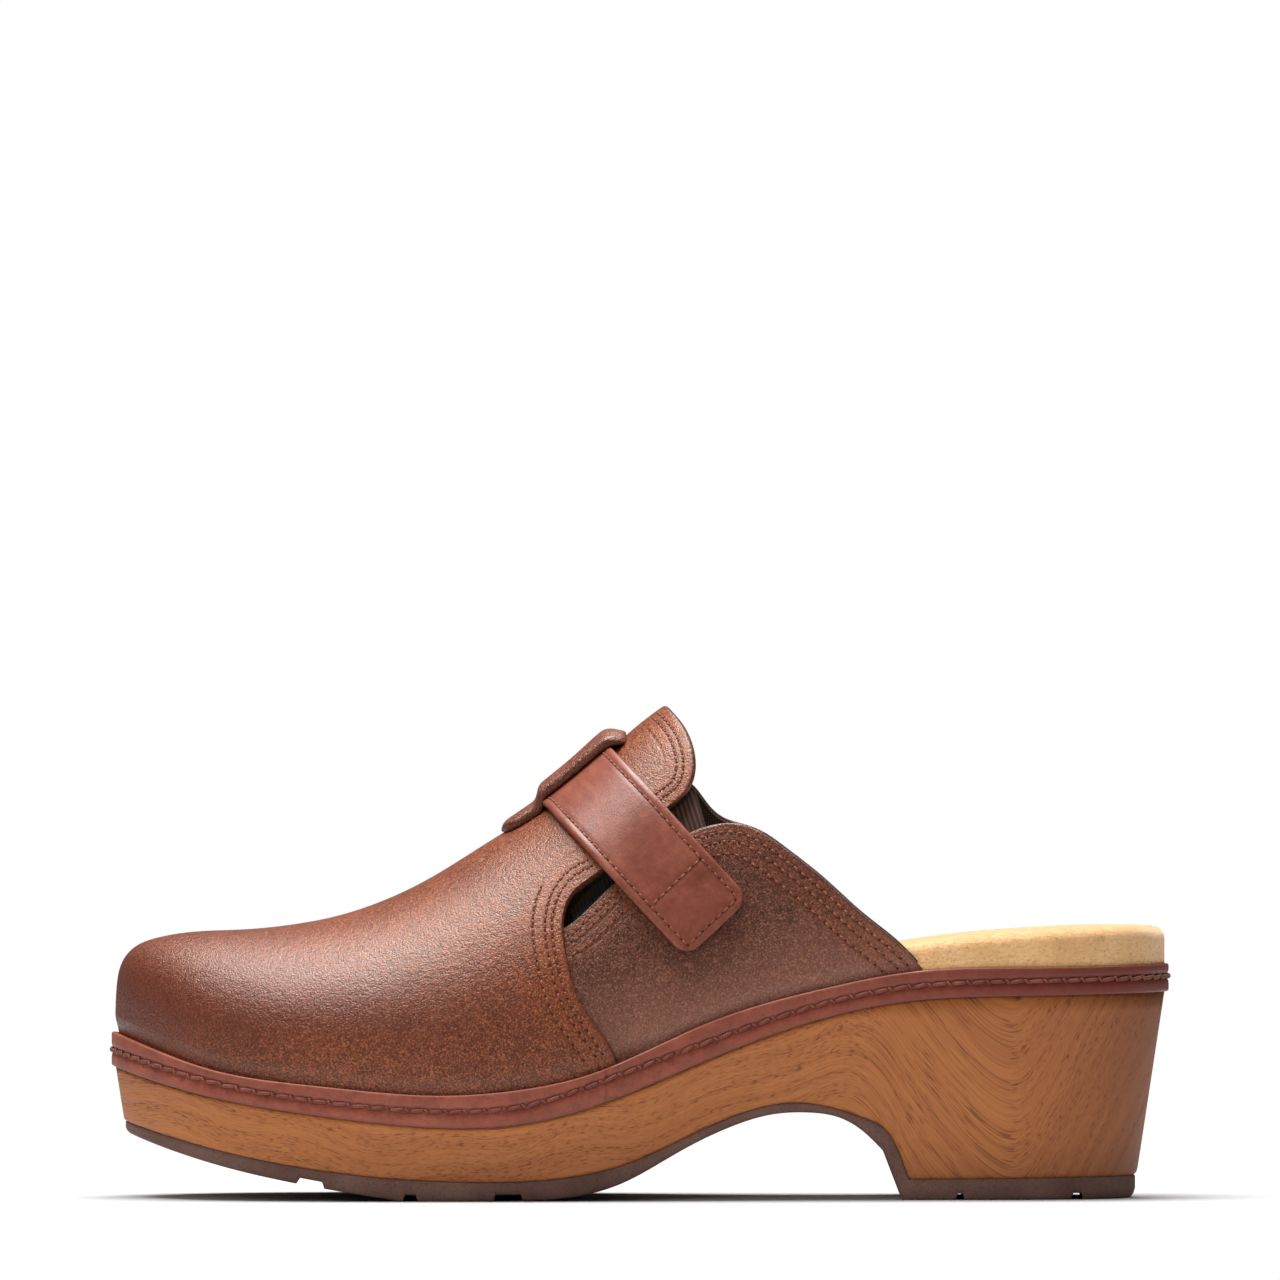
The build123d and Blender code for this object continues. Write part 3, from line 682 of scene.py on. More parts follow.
def quarter_grid(top_points, medial, drop=0.0, front=-20.0, back=66.9, base_drop=3.0):
    """Grid of (x, z, w) over a quarter, and how deep it lies under the vamp's face."""
    top = profile(top_points)
    cols = np.concatenate([np.linspace(front, 10, 70)[:-1], np.linspace(10, 50, 80)[:-1],
                           np.linspace(50, back, 60)])
    rows = np.linspace(0, 1, 90)
    rows = 1 - (1 - rows) ** 1.3
    base = rand_top(cols) - base_drop
    high = np.maximum(top(cols) - drop, base + 1.2)
    z = base[None, :] + (high - base)[None, :] * rows[:, None]
    x = np.broadcast_to(cols[None, :], z.shape).copy()
    height = z - rand_top(x.ravel()).reshape(x.shape)
    return x, z, arc_of(x, z, medial), OVERLAP - relief(x, height)


def build_quarter(name, node, top_points, medial):
    x, z, w, depth = quarter_grid(top_points, medial)
    outer, _ = upper_at(x, w, depth + edge_curl(depth.shape[::-1]).T)
    inner, _ = upper_at(x, w, depth + LEATHER)
    rim = path(top_points, 900)
    if not medial:
        rim = rim[rim[:, 0] > -17]
    obj = shell(name, outer, inner, np.stack([x, z], axis=-1), edge=distance_to(rim, x, z))
    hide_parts(node)
    return obj


def build_quarter_lining(name, node, top_points, medial):
    x, z, w, depth = quarter_grid(top_points, medial, drop=0.35 if medial else -0.35)
    depth = depth + LEATHER + 0.08
    outer, _ = upper_at(x, w, depth)
    inner, _ = upper_at(x, w, depth + 0.8)
    obj = shell(name, outer, inner, np.stack([x, z], axis=-1), bevel=0.25)
    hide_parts(node)
    return obj


def build_vamp_lining():
    x, w = vamp_grid(trim=0.8)
    x, w = x[:, ::2], w[:, ::2]
    outer, _ = upper_at(x, w, LEATHER + 0.1)
    inner, _ = upper_at(x, w, LEATHER + 0.9)
    obj = shell("vamp_lining_cloth", outer, inner, surface_uv(x, w), bevel=0.2)
    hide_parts("vamp_lining")
    return obj


GORE_LENGTH = 46.0


def build_gore():
    """Ribbed elastic between the tongue and the quarter, under the strap."""
    low = polyline([(-15, 64), (-7, 72), (2, 79.5), (16, 87.5)], 160)
    high = polyline([(-17, 70), (-8, 80), (3, 94), (12.3, 98.6)], 160)
    rows = 40
    t = np.linspace(0, 1, rows)[:, None]
    x = low[None, :, 0] * (1 - t) + high[None, :, 0] * t
    z = low[None, :, 1] * (1 - t) + high[None, :, 1] * t
    run = np.linspace(0, 1, 160)[None, :] * GORE_LENGTH
    rib = 0.22 * np.sin(run * 2 * math.pi / 1.3) * np.ones_like(x)
    depth = OVERLAP + LEATHER + 0.1 + 0.25 - rib
    w = arc_of(x, z)
    outer, _ = upper_at(x, w, depth)
    inner, _ = upper_at(x, w, OVERLAP + LEATHER + 1.1)
    obj = shell("gore_elastic", outer, inner, np.stack([run * np.ones_like(x), z], axis=-1), bevel=0.1)
    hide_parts("elastic_gore")
    return obj


# ---------------------------------------------------------------- strap and keeper

STRAP_A, STRAP_B = np.array([-22.4, 92.8]), np.array([-7.9, 107.3])     # at the keeper: front edge, back edge
STRAP_D, STRAP_C = np.array([10.2, 57.9]), np.array([25.0, 71.6])       # at the free end
STRAP_THICK = 1.45
STRAP_LIFT = 0.75
STRAP_CROSSING = 0.47       # from the lateral s = 0 over the ridge to its mirror image, in strap lengths
STRAP_START = -1.05
STRAP_LENGTH, STRAP_WIDTH = 48.5, 20.5      # the flap, from s = 0 to s = 1
CORNER_RADIUS = 4.2
STITCH_MARGIN = 2.0
CROSS_ROW = 0.69                            # s of the crosswise stitch row
KEEPER_HALF = 9.5


def strap_side(s, v):
    """Side-view point of the strap: s from the keeper (0) to the free end (1), v from front to back edge."""
    s, v = np.broadcast_arrays(np.asarray(s, float), np.asarray(v, float))
    left = STRAP_A + (STRAP_D - STRAP_A) * s[..., None]
    right = STRAP_B + (STRAP_C - STRAP_B) * s[..., None]
    p = left + (right - left) * v[..., None]
    lift = np.array([1.6, -1.7]) * (1 - 0.6 * np.clip(s, 0, 1))[..., None]
    return p + lift


def strap_xw(s, v):
    """(x, w) on the upper. Past the keeper (s < 0) the strap crosses the ridge and runs down the medial
    side as a mirror of the lateral side."""
    s, v = np.broadcast_arrays(np.asarray(s, float), np.asarray(v, float))
    side = np.where(s >= 0, s, np.maximum(-s - STRAP_CROSSING, 0))
    p = strap_side(side, v)
    near = arc_of(p[..., 0], p[..., 1])
    t = np.clip(-s / STRAP_CROSSING, 0, 1)
    w = near + (1 - 2 * near) * t
    return p[..., 0] - 2.4 * np.sin(math.pi * t), w


def strap_outline(count_s, count_v, start=STRAP_START, inset=0.0):
    """Grid parameters whose far end is rounded at its corners."""
    near = 1 - CORNER_RADIUS / STRAP_LENGTH
    tail = near + (1 - near) * np.sin(np.linspace(0, 1, 16) * math.pi / 2)
    s = np.concatenate([np.linspace(start, near, count_s - 15)[:-1], tail])
    d = np.clip((s - near) * STRAP_LENGTH / CORNER_RADIUS, 0, 1)
    half = STRAP_WIDTH / 2 - CORNER_RADIUS + CORNER_RADIUS * np.sqrt(np.clip(1 - d ** 2, 0, 1))
    half = np.maximum(half - inset, 0.5) / STRAP_WIDTH
    v = 0.5 + half[:, None] * np.linspace(-1, 1, count_v)[None, :]
    s = np.minimum(s, 1 - inset / STRAP_LENGTH)
    return np.broadcast_to(s[:, None], v.shape), v


def strap_uv(s, v):
    """Flat coordinates of the strap in millimetres."""
    return np.stack([s * STRAP_LENGTH, v * STRAP_WIDTH], axis=-1)


def strap_depth(s):
    """The strap lies on the vamp near the keeper and sinks a little onto the quarter past its edge."""
    sink = smooth((s - 0.28) / 0.3) * 0.9
    return -STRAP_LIFT + sink


def build_strap():
    s, v = strap_outline(150, 44)
    x, w = strap_xw(s, v)
    depth = strap_depth(s)
    edge = np.minimum(np.minimum(v, 1 - v) * STRAP_WIDTH, (1 - s) * STRAP_LENGTH + 0.01)
    groove = 0.16 * np.exp(-((edge - STITCH_MARGIN) / 0.45) ** 2)
    curl = 0.16 * np.clip(1 - edge / 0.5, 0, 1) ** 2
    pillow = -0.06 * np.exp(-((edge - 1.0) / 0.6) ** 2)
    bar = 0.16 * np.exp(-(((s - CROSS_ROW) * STRAP_LENGTH) / 0.5) ** 2) * (edge > 1.6) * (s > 0)
    outer, _ = upper_at(x, w, depth - STRAP_THICK + groove + curl + pillow + bar)
    inner, _ = upper_at(x, w, depth)
    return shell("strap_leather", outer, inner, strap_uv(s, v), bevel=0.25)


def build_strap_backing():
    s, v = strap_outline(120, 24, inset=0.25)
    x, w = strap_xw(s, v)
    depth = strap_depth(s)
    outer, _ = upper_at(x, w, depth + 0.04)
    inner, _ = upper_at(x, w, depth + 0.55)
    return shell("strap_back_layer", outer, inner, strap_uv(s, v), bevel=0.12)


def strap_points(s, v, out=0.0):
    x, w = strap_xw(s, v)
    return upper_at(x, w, strap_depth(s) - STRAP_THICK - out)


def seam(points, normals, pitch, length, radius, lift):
    """The needle holes, drawn as dark sunk pieces of painted shade, and the stitches along a 3D polyline."""
    run = np.concatenate([[0], np.cumsum(np.linalg.norm(np.diff(points, axis=0), axis=1))])
    count = max(2, int(run[-1] / pitch))
    at = (np.arange(count) + 0.5) * run[-1] / count

    def sample(where, values):
        return np.stack([np.interp(where, run, values[:, k]) for k in range(3)], 1)

    centres, n = sample(at, points), sample(at, normals)
    ahead = sample(at + 0.2, points) - sample(at - 0.2, points)
    ahead /= np.maximum(np.linalg.norm(ahead, axis=1, keepdims=True), 1e-9)
    gap = run[-1] / count
    # Painted shade: a dark sunk piece at each needle hole.
    holes = stitch_mesh("row_holes", centres + ahead * gap / 2, ahead, n, 0.85, 0.3, lift=-0.06)
    return holes, stitch_mesh("row", centres, ahead, n, length, radius, lift=lift)


def join(name, objs):
    """One object from several."""
    bm = bmesh.new()
    for o in objs:
        bm.from_mesh(o.data)
        bpy.data.objects.remove(o)
    mesh = bpy.data.meshes.new(name)
    bm.to_mesh(mesh)
    bm.free()
    mesh.shade_smooth()
    obj = bpy.data.objects.new(name, mesh)
    bpy.context.scene.collection.objects.link(obj)
    return obj


def sew(name, rows):
    """The thread and the holes of several rows, each joined into one piece."""
    holes = join(name + "_holes", [row[0] for row in rows])
    return join(name + "_thread", [row[1] for row in rows]), holes


def build_strap_stitches():
    """A row all round the strap, one across its medial end and one across the flap."""
    inset = STITCH_MARGIN / STRAP_WIDTH
    near = 1 - STITCH_MARGIN / STRAP_LENGTH
    turn = 0.955 - 0.02         # where the side rows turn towards the end row
    side = np.linspace(STRAP_START + 0.03, turn, 200)
    corner = [(turn + (near - 0.955 + 0.02) * math.sin(a), inset + 0.10 * (1 - math.cos(a)))
              for a in np.linspace(0.2, math.pi / 2, 12)]
    end = [(near, t) for t in np.linspace(inset + 0.12, 1 - inset - 0.12, 40)]
    round_row = ([(t, inset) for t in side] + corner + end + [(a, 1 - b) for a, b in corner[::-1]]
                 + [(t, 1 - inset) for t in np.linspace(turn, STRAP_START + 0.03, 200)])
    across = np.linspace(inset + 0.02, 1 - inset - 0.02, 60)
    rows = []
    for row in (round_row, [(STRAP_START + 0.04, t) for t in across], [(CROSS_ROW, t) for t in across]):
        p, n = strap_points(*np.array(row).T, -0.12)
        rows.append(seam(p, n, 2.15, 1.75, 0.25, 0.07))
    return sew("strap", rows)


# (distance along the instep from the strap's front edge, height of the underside, height of the top)
KEEPER_SECTION = [(-12.8, 0.05, 1.0), (-12.2, 0.05, 1.75), (-10.5, 0.05, 2.2), (-6, 0.05, 2.3),
                  (-3.2, 0.05, 2.3), (-2.2, 0.1, 2.5), (-1.2, 0.6, 3.3), (0, 1.9, 4.3), (1.2, 2.45, 4.75),
                  (3, 2.5, 4.8), (7, 2.5, 4.75), (12, 2.5, 4.7), (17, 2.5, 4.75), (20, 2.4, 4.7),
                  (21.4, 2.0, 4.45), (22.4, 1.2, 3.8), (23.4, 0.3, 2.7), (24.2, 0.05, 1.4)]
KEEPER_FRONT, KEEPER_BACK = KEEPER_SECTION[0][0], KEEPER_SECTION[-1][0]
STRAP_FRONT_X = -21.6       # where the strap's front edge meets the ridge


def ridge_x(s):
    """x on the ridge at a distance s along the instep from the strap's front edge."""
    dense = np.linspace(-60, 12, 1500)
    z = np.interp(UPPER.to_u(dense), RIDGE_U, RIDGE_Z)
    run = np.concatenate([[0], np.cumsum(np.hypot(np.diff(dense), np.diff(z)))])
    zero = np.interp(STRAP_FRONT_X, dense, run)
    return np.interp(s + zero, run, dense)


def across_w(x, dy):
    """w at a distance dy from the ridge, measured across."""
    u = UPPER.to_u(x)
    lateral, medial = UPPER.y(u)
    y_ridge = ridge_y(x, lateral, medial)
    side = np.where(dy < 0, y_ridge - lateral, medial - y_ridge)
    c = np.clip(np.abs(dy) / side, 0, 1) ** (fullness(x) / 2)
    arc = np.arccos(c) / math.pi
    return np.where(dy < 0, arc, 1 - arc)


def build_keeper():
    """The loop on the tongue that holds the strap down."""
    s = np.concatenate([np.linspace(KEEPER_FRONT, -10.5, 10)[:-1], np.linspace(-10.5, KEEPER_BACK, 110)])
    kernel = np.array([1, 2, 3, 2, 1.0])
    kernel /= kernel.sum()
    knots, *faces = np.array(KEEPER_SECTION).T
    lo, hi = [np.convolve(np.pad(np.interp(s, knots, face), 2, mode="edge"), kernel, mode="valid")
              for face in faces]
    t = np.linspace(-1, 1, 34)
    t = np.sin(t * math.pi / 2) * 0.35 + t * 0.65
    d = np.clip((s - KEEPER_FRONT) / 5.0, 0, 1)
    half = KEEPER_HALF * (0.35 + 0.65 * np.sqrt(np.clip(1 - (1 - d) ** 2, 0, 1)))
    back = np.clip((KEEPER_BACK - s) / 2.2, 0, 1)
    half = half * (0.86 + 0.14 * np.sqrt(back))
    dy = half[:, None] * t[None, :]
    x = ridge_x(s)[:, None] * np.ones_like(dy)
    w = across_w(x, dy)
    edge = (1 - np.abs(t))[None, :] * half[:, None]
    curl = 0.45 * np.clip(1 - edge / 0.9, 0, 1) ** 2
    groove = 0.15 * np.exp(-((edge - 1.9) / 0.4) ** 2)
    outer, _ = upper_at(x, w, -hi[:, None] + curl + groove)
    inner, _ = upper_at(x, w, -lo[:, None])
    uv = np.stack([s[:, None] * np.ones_like(dy), dy], axis=-1)
    obj = shell("keeper_leather", outer, inner, uv, bevel=0.5, edge=edge)
    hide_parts("strap_keeper")
    return obj


# ---------------------------------------------------------------- seams of the upper

def inset_curve(points, distance):
    """A side-view curve moved to its left by a distance."""
    tan = np.gradient(points, axis=0)
    tan /= np.linalg.norm(tan, axis=1, keepdims=True)
    return points + np.stack([-tan[:, 1], tan[:, 0]], 1) * distance


def upper_row(line, medial, depth=0.0):
    p, n = upper_at(line[:, 0], arc_of(line[:, 0], line[:, 1], medial), depth)
    return seam(p, n, 2.2, 1.6, 0.33, 0.02)


def upper_seams():
    """Rows along the vamp's edge on both sides, then along the front and back edges of the quarters."""
    rows = []
    vamp = path(VAMP_EDGE + TONGUE_EDGE, 900)
    for medial in (False, True):
        for distance, top_z in ((2.4, 140.0), (4.1, 140.0), (7.0, 74.0)):
            line = inset_curve(vamp, distance)
            ridge = np.interp(UPPER.to_u(line[:, 0]), RIDGE_U, RIDGE_Z)
            above = line[:, 1] > rand_top(line[:, 0]) + 1.5
            rows.append(upper_row(line[above & (line[:, 1] < np.minimum(ridge - 0.3, top_z))], medial))
    front = polyline([(-20, 64), (-16.8, 65.8), (-7.1, 74.8), (6, 84)], 200)
    lateral_back = path([(13, 87.8)] + OUTER_CREST + BACK_EDGE + SEAM_FOOT, 400)
    medial_back = path(INNER_CREST + BACK_EDGE + SEAM_FOOT, 400)
    for medial, curve, distances in ((False, front, (2.2, 3.9, 6.8)), (False, lateral_back, (2.2, 4.4, 7.4)),
                                     (True, medial_back, (2.2, 4.4, 7.4))):
        for distance in distances:
            line = inset_curve(curve, -distance)
            height = line[:, 1] - rand_top(line[:, 0])
            line, height = line[height > 1.2], height[height > 1.2]
            rows.append(upper_row(line, medial, OVERLAP - relief(line[:, 0], height)))
    return sew("upper", rows)


def pad_sheet(name, low, high, node, rough, start=0.46):
    """A piece of hook-and-loop tape under the strap's free end: a sheet with a fine pile."""
    s, v = strap_outline(90, 60, start=start, inset=2.4)
    x, w = strap_xw(s, v)
    depth = strap_depth(s)
    pile = rng.uniform(-1, 1, s.shape) * rough
    up, down = (0.0, pile) if node == "hook_pad" else (pile, 0.0)
    outer, _ = upper_at(x, w, depth + low - up)
    inner, _ = upper_at(x, w, depth + high + down)
    obj = shell(name, outer, inner, strap_uv(s, v), bevel=0.05)
    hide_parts(node)
    return obj


# ---------------------------------------------------------------- materials

def tone(r, g, b, gain=1.0):
    """An 8-bit display colour as a linear one."""
    out = []
    for c in (r, g, b):
        c = c / 255
        c = c / 12.92 if c <= 0.04045 else ((c + 0.055) / 1.055) ** 2.4
        out.append(min(1.0, c * gain))
    return (*out, 1.0)


class Look:
    """A node material built step by step."""

    def __init__(self, name):
        self.material = bpy.data.materials.new(name)
        self.material.use_nodes = True
        self.tree = self.material.node_tree
        self.tree.nodes.clear()
        self.out = self.tree.nodes.new("ShaderNodeOutputMaterial")
        self.shader = self.tree.nodes.new("ShaderNodeBsdfPrincipled")
        self.tree.links.new(self.shader.outputs["BSDF"], self.out.inputs["Surface"])

    def plug(self, socket, value):
        """Links a socket to another one, or sets its value."""
        if isinstance(value, bpy.types.NodeSocket):
            self.tree.links.new(value, socket)
        else:
            socket.default_value = value

    def add(self, kind, inputs=None, **attributes):
        node = self.tree.nodes.new("ShaderNode" + kind)
        for key, value in attributes.items():
            setattr(node, key, value)
        for key, value in (inputs or {}).items():
            self.plug(node.inputs[key], value)
        return node

    def coords(self, kind="Object", scale=(1, 1, 1), turn=(0, 0, 0), shift=(0, 0, 0)):
        source = self.add("TexCoord").outputs[kind]
        mapped = self.add("Mapping", {"Vector": source, "Scale": scale, "Rotation": turn, "Location": shift})
        return mapped.outputs["Vector"]

    def noise(self, vector, scale, detail=4.0, rough=0.55, warp=0.0):
        node = self.add("TexNoise", {"Vector": vector, "Scale": scale, "Detail": detail, "Roughness": rough,
                                     "Distortion": warp})
        return node.outputs["Fac"]

    def ramp(self, value, stops):
        """A colour ramp. A stop holds a place and a colour, or one number for a grey."""
        node = self.add("ValToRGB", {"Fac": value})
        elements = node.color_ramp.elements
        while len(elements) < len(stops):
            elements.new(0.5)
        for element, (at, colour) in zip(elements, stops):
            element.position = at
            if not isinstance(colour, tuple):
                colour = (colour, colour, colour, 1.0)
            element.color = colour
        return node.outputs["Color"]

    def mix(self, fac, a, b, mode="MIX"):
        node = self.add("Mix", data_type="RGBA", blend_type=mode)
        for index, value in ((0, fac), (6, a), (7, b)):
            self.plug(node.inputs[index], value)
        return node.outputs[2]

    def stain(self, colour, value, start, end, other):
        """The colour mixed with another, by a share that ramps between two (place, share) stops."""
        return self.mix(self.ramp(value, [start, end]), colour, other)

    def math(self, operation, a, b=0.0):
        return self.add("Math", {0: a, 1: b}, operation=operation).outputs[0]

    def span(self, value, low, high, to_low, to_high):
        return self.add("MapRange", {0: value, 1: low, 2: high, 3: to_low, 4: to_high}).outputs[0]

    def bump(self, height, strength, distance, normal=None):
        inputs = {"Height": height, "Strength": strength, "Distance": distance}
        if normal is not None:
            inputs["Normal"] = normal
        return self.add("Bump", inputs).outputs["Normal"]

    def finish(self, **values):
        for key, value in values.items():
            self.plug(self.shader.inputs[key.replace("_", " ")], value)
        return self.material


def leather_look(name, base, dark, light, seam_tone, toe=None, foot=None, rows=(2.4, 4.1, 7.0), band=8.5):
    """Waxed nubuck: fine dark and light specks over a quiet cloudy tone, a pebbled bump, and a warmer band
    with sunk stitch rows along the cut edge, the rows darkened with painted shade. toe darkens the front and
    also colours a band of painted shade across the vamp's middle height; foot is painted light that lightens
    the lower part, standing in for light bounced up from the floor."""
    look = Look(name)
    at = look.coords()
    cloud = look.noise(at, 60, 3, 0.6, 0.4)
    mottle = look.noise(at, 750, 3, 0.7)
    fine = look.noise(at, 2300, 2, 0.6)
    grit = look.noise(look.coords("Object", (1, 1, 1), (0, 0, 0), (0.3, 0.1, 0.7)), 1500, 2, 0.7)
    colour = look.mix(look.ramp(cloud, [(0.35, 0.4), (0.62, 0.0)]), base, dark)
    colour = look.stain(colour, mottle, (0.36, 0.5), (0.54, 0.0), dark)
    colour = look.stain(colour, mottle, (0.54, 0.0), (0.74, 0.35), light)
    colour = look.stain(colour, fine, (0.36, 0.95), (0.49, 0.0), dark)
    colour = look.stain(colour, fine, (0.53, 0.0), (0.66, 0.7), light)
    colour = look.stain(colour, grit, (0.34, 0.9), (0.43, 0.0), dark)
    apart = look.add("SeparateXYZ", {"Vector": at})
    if toe is not None:
        front = look.span(apart.outputs[0], -0.122, -0.075, 0.7, 0.0)
        uneven = look.math("MULTIPLY", front, look.ramp(mottle, [(0.3, 0.55), (0.7, 1.0)]))
        colour = look.mix(uneven, colour, toe)
        # Painted shade: a darker band across the vamp at about 47 mm height, in the toe colour, stands in for
        # the shade below the top highlight.
        waist = look.math("ABSOLUTE", look.math("SUBTRACT", apart.outputs[2], 0.047))
        painted_shade_band = look.math("MULTIPLY", look.span(waist, 0.004, 0.013, 0.5, 0.0),
                            look.span(apart.outputs[0], -0.045, -0.02, 1.0, 0.0))
        painted_shade_band = look.math("MULTIPLY", painted_shade_band, look.ramp(cloud, [(0.3, 1.0), (0.7, 0.7)]))
        colour = look.mix(painted_shade_band, colour, toe)
    if foot is not None:
        # Painted light: the lower part is lightened by adding the foot tone, standing in for light bounced up
        # from the floor.
        above = look.math("SUBTRACT", apart.outputs[2], look.math("MULTIPLY", apart.outputs[0], 0.3))
        colour = look.mix(look.span(above, 0.040, 0.058, 0.45, 0.0), colour, foot, "ADD")
    away = look.add("Attribute", attribute_name="edge").outputs["Fac"]
    warm = look.span(away, band - 2.0, band + 1.0, 0.32, 0.0)
    colour = look.mix(warm, colour, look.mix(look.ramp(fine, [(0.36, 0.75), (0.56, 0.0)]), seam_tone, dark))
    dip = 0.0
    for row in rows:
        off = look.math("ABSOLUTE", look.math("SUBTRACT", away, row))
        dip = look.math("MAXIMUM", look.span(off, 0.15, 0.6, 1.0, 0.0), dip)
    rim = look.span(away, 0.1, 0.9, 0.55, 0.0)
    colour = look.mix(rim, colour, dark)
    height = look.math("ADD", look.math("MULTIPLY", mottle, 0.6), look.math("MULTIPLY", fine, 0.6))
    normal = look.bump(height, 0.6, 0.0006)
    if rows:
        # Painted shade: the colour darkens along the sunk stitch rows.
        colour = look.mix(look.math("MULTIPLY", dip, 0.22), colour, dark)
        normal = look.bump(look.math("SUBTRACT", 1.0, dip), 0.28, 0.0003, normal)
    return look.finish(Base_Color=colour, Roughness=look.span(mottle, 0.35, 0.7, 0.29, 0.42), Normal=normal,
                       Specular_IOR_Level=0.6, Specular_Tint=(1.0, 0.9, 0.8, 1.0))


def strap_look(name, base, dark, light):
    """Pull-up leather: smooth, with soft tonal clouds and fine pores."""
    look = Look(name)
    at = look.coords("UV", (MM, MM, MM))
    cloud = look.noise(at, 85, 4, 0.62, 0.8)
    mottle = look.noise(at, 420, 4, 0.65)
    pores = look.noise(at, 2100, 2, 0.6)
    colour = look.ramp(cloud, [(0.25, dark), (0.5, base), (0.75, light)])
    colour = look.mix(0.4, colour, look.ramp(mottle, [(0.32, dark), (0.5, base), (0.7, light)]))
    colour = look.stain(colour, pores, (0.30, 0.4), (0.42, 0.0), dark)
    roughness = look.span(cloud, 0.3, 0.7, 0.36, 0.5)
    creases = look.noise(look.coords("UV", (0.0011, 0.00035, 0.001)), 900, 3, 0.6)
    height = look.math("ADD", look.math("MULTIPLY", pores, 0.5), look.math("MULTIPLY", creases, 0.6))
    normal = look.bump(height, 0.32, 0.0003)
    return look.finish(Base_Color=colour, Roughness=roughness, Normal=normal, Specular_IOR_Level=0.55,
                       Specular_Tint=(1.0, 0.97, 0.93, 1.0))


def wood_look():
    """Warm open-grained timber. The UV holds centimetres along the figure and across it."""
    look = Look("platform_timber")
    fine = look.coords("UV", (0.55, 7.0, 1))
    broad = look.coords("UV", (0.14, 1.3, 1))
    wobble = look.noise(broad, 1.2, 3, 0.5, 0.3)
    bands = look.noise(look.coords("UV", (0.10, 4.2, 1)), 1.0, 4, 0.62, 0.35)
    streaks = look.noise(fine, 2.3, 5, 0.68, 0.2)
    hair = look.noise(look.coords("UV", (1.1, 30.0, 1)), 1.6, 3, 0.7)
    pale, mid, deep = tone(192, 122, 68), tone(178, 108, 57), tone(152, 86, 44)
    colour = look.ramp(bands, [(0.30, deep), (0.44, mid), (0.58, pale), (0.7, mid)])
    colour = look.mix(0.45, colour, look.ramp(streaks, [(0.32, deep), (0.5, mid), (0.66, pale)]))
    colour = look.stain(colour, wobble, (0.35, 0.0), (0.7, 0.35), tone(158, 92, 48))
    colour = look.stain(colour, hair, (0.36, 0.5), (0.47, 0.0), tone(118, 66, 36))
    pores = look.noise(look.coords("UV", (3.6, 20.0, 1), (0, 0, 0.05)), 1.6, 1, 0.4)
    where = look.math("MULTIPLY", look.ramp(pores, [(0.37, 1.0), (0.44, 0.0)]),
                      look.ramp(bands, [(0.40, 1.0), (0.58, 0.12)]))
    colour = look.mix(look.math("MULTIPLY", where, 0.75), colour, tone(92, 50, 30))
    at = look.coords()
    apart = look.add("SeparateXYZ", {"Vector": at})
    # Painted shade: the wood darkens towards the back of the heel, where its side turns away from the light.
    heel = look.span(apart.outputs[0], 0.085, 0.122, 0.0, 0.6)
    colour = look.mix(heel, colour, tone(116, 62, 38))
    low = look.span(apart.outputs[2], 0.016, 0.004, 0.0, 0.25)
    colour = look.mix(low, colour, tone(118, 66, 44))
    height = look.math("SUBTRACT", look.math("MULTIPLY", hair, 0.4), look.math("MULTIPLY", where, 0.8))
    normal = look.bump(height, 0.35, 0.0003)
    roughness = look.span(streaks, 0.3, 0.7, 0.52, 0.66)
    return look.finish(Base_Color=colour, Roughness=roughness, Normal=normal, Specular_IOR_Level=0.4)


def rubber_look():
    look = Look("sole_rubber")
    at = look.coords()
    cloud = look.noise(at, 60, 3, 0.6)
    fine = look.noise(at, 1900, 3, 0.7)
    colour = look.ramp(cloud, [(0.3, tone(96, 69, 61)), (0.7, tone(122, 92, 81))])
    colour = look.stain(colour, fine, (0.32, 0.5), (0.5, 0.0), tone(52, 38, 34))
    colour = look.stain(colour, fine, (0.6, 0.0), (0.75, 0.35), tone(138, 110, 98))
    normal = look.bump(fine, 0.4, 0.0003)
    return look.finish(Base_Color=colour, Roughness=look.span(fine, 0.3, 0.7, 0.72, 0.88), Normal=normal,
                       Specular_IOR_Level=0.35)


def footbed_look():
    look = Look("footbed_microfibre")
    at = look.coords()
    cloud = look.noise(at, 90, 4, 0.6, 0.5)
    fine = look.noise(at, 1300, 4, 0.75)
    nap = look.noise(look.coords("Object", (1, 1, 3)), 520, 3, 0.6)
    colour = look.ramp(cloud, [(0.3, tone(222, 172, 116)), (0.55, tone(236, 190, 134)),
                               (0.75, tone(244, 204, 150))])
    colour = look.stain(colour, nap, (0.36, 0.35), (0.54, 0.0), tone(198, 146, 96))
    colour = look.stain(colour, fine, (0.38, 0.5), (0.48, 0.0), tone(172, 120, 74))
    # Painted shade: faces that point up are darkened, toning down the overhead light on the footbed's top.
    facing = look.add("SeparateXYZ", {"Vector": look.add("NewGeometry").outputs["Normal"]}).outputs[2]
    top_painted_shade = look.math("MULTIPLY", look.span(facing, 0.5, 0.97, 0.0, 0.75),
                        look.ramp(nap, [(0.3, 1.0), (0.7, 0.6)]))
    colour = look.mix(top_painted_shade, colour, tone(186, 130, 78))
    normal = look.bump(look.math("ADD", fine, nap), 0.5, 0.00035)
    return look.finish(Base_Color=colour, Roughness=look.span(fine, 0.3, 0.7, 0.8, 0.95), Normal=normal,
                       Sheen_Weight=0.25, Sheen_Roughness=0.5)


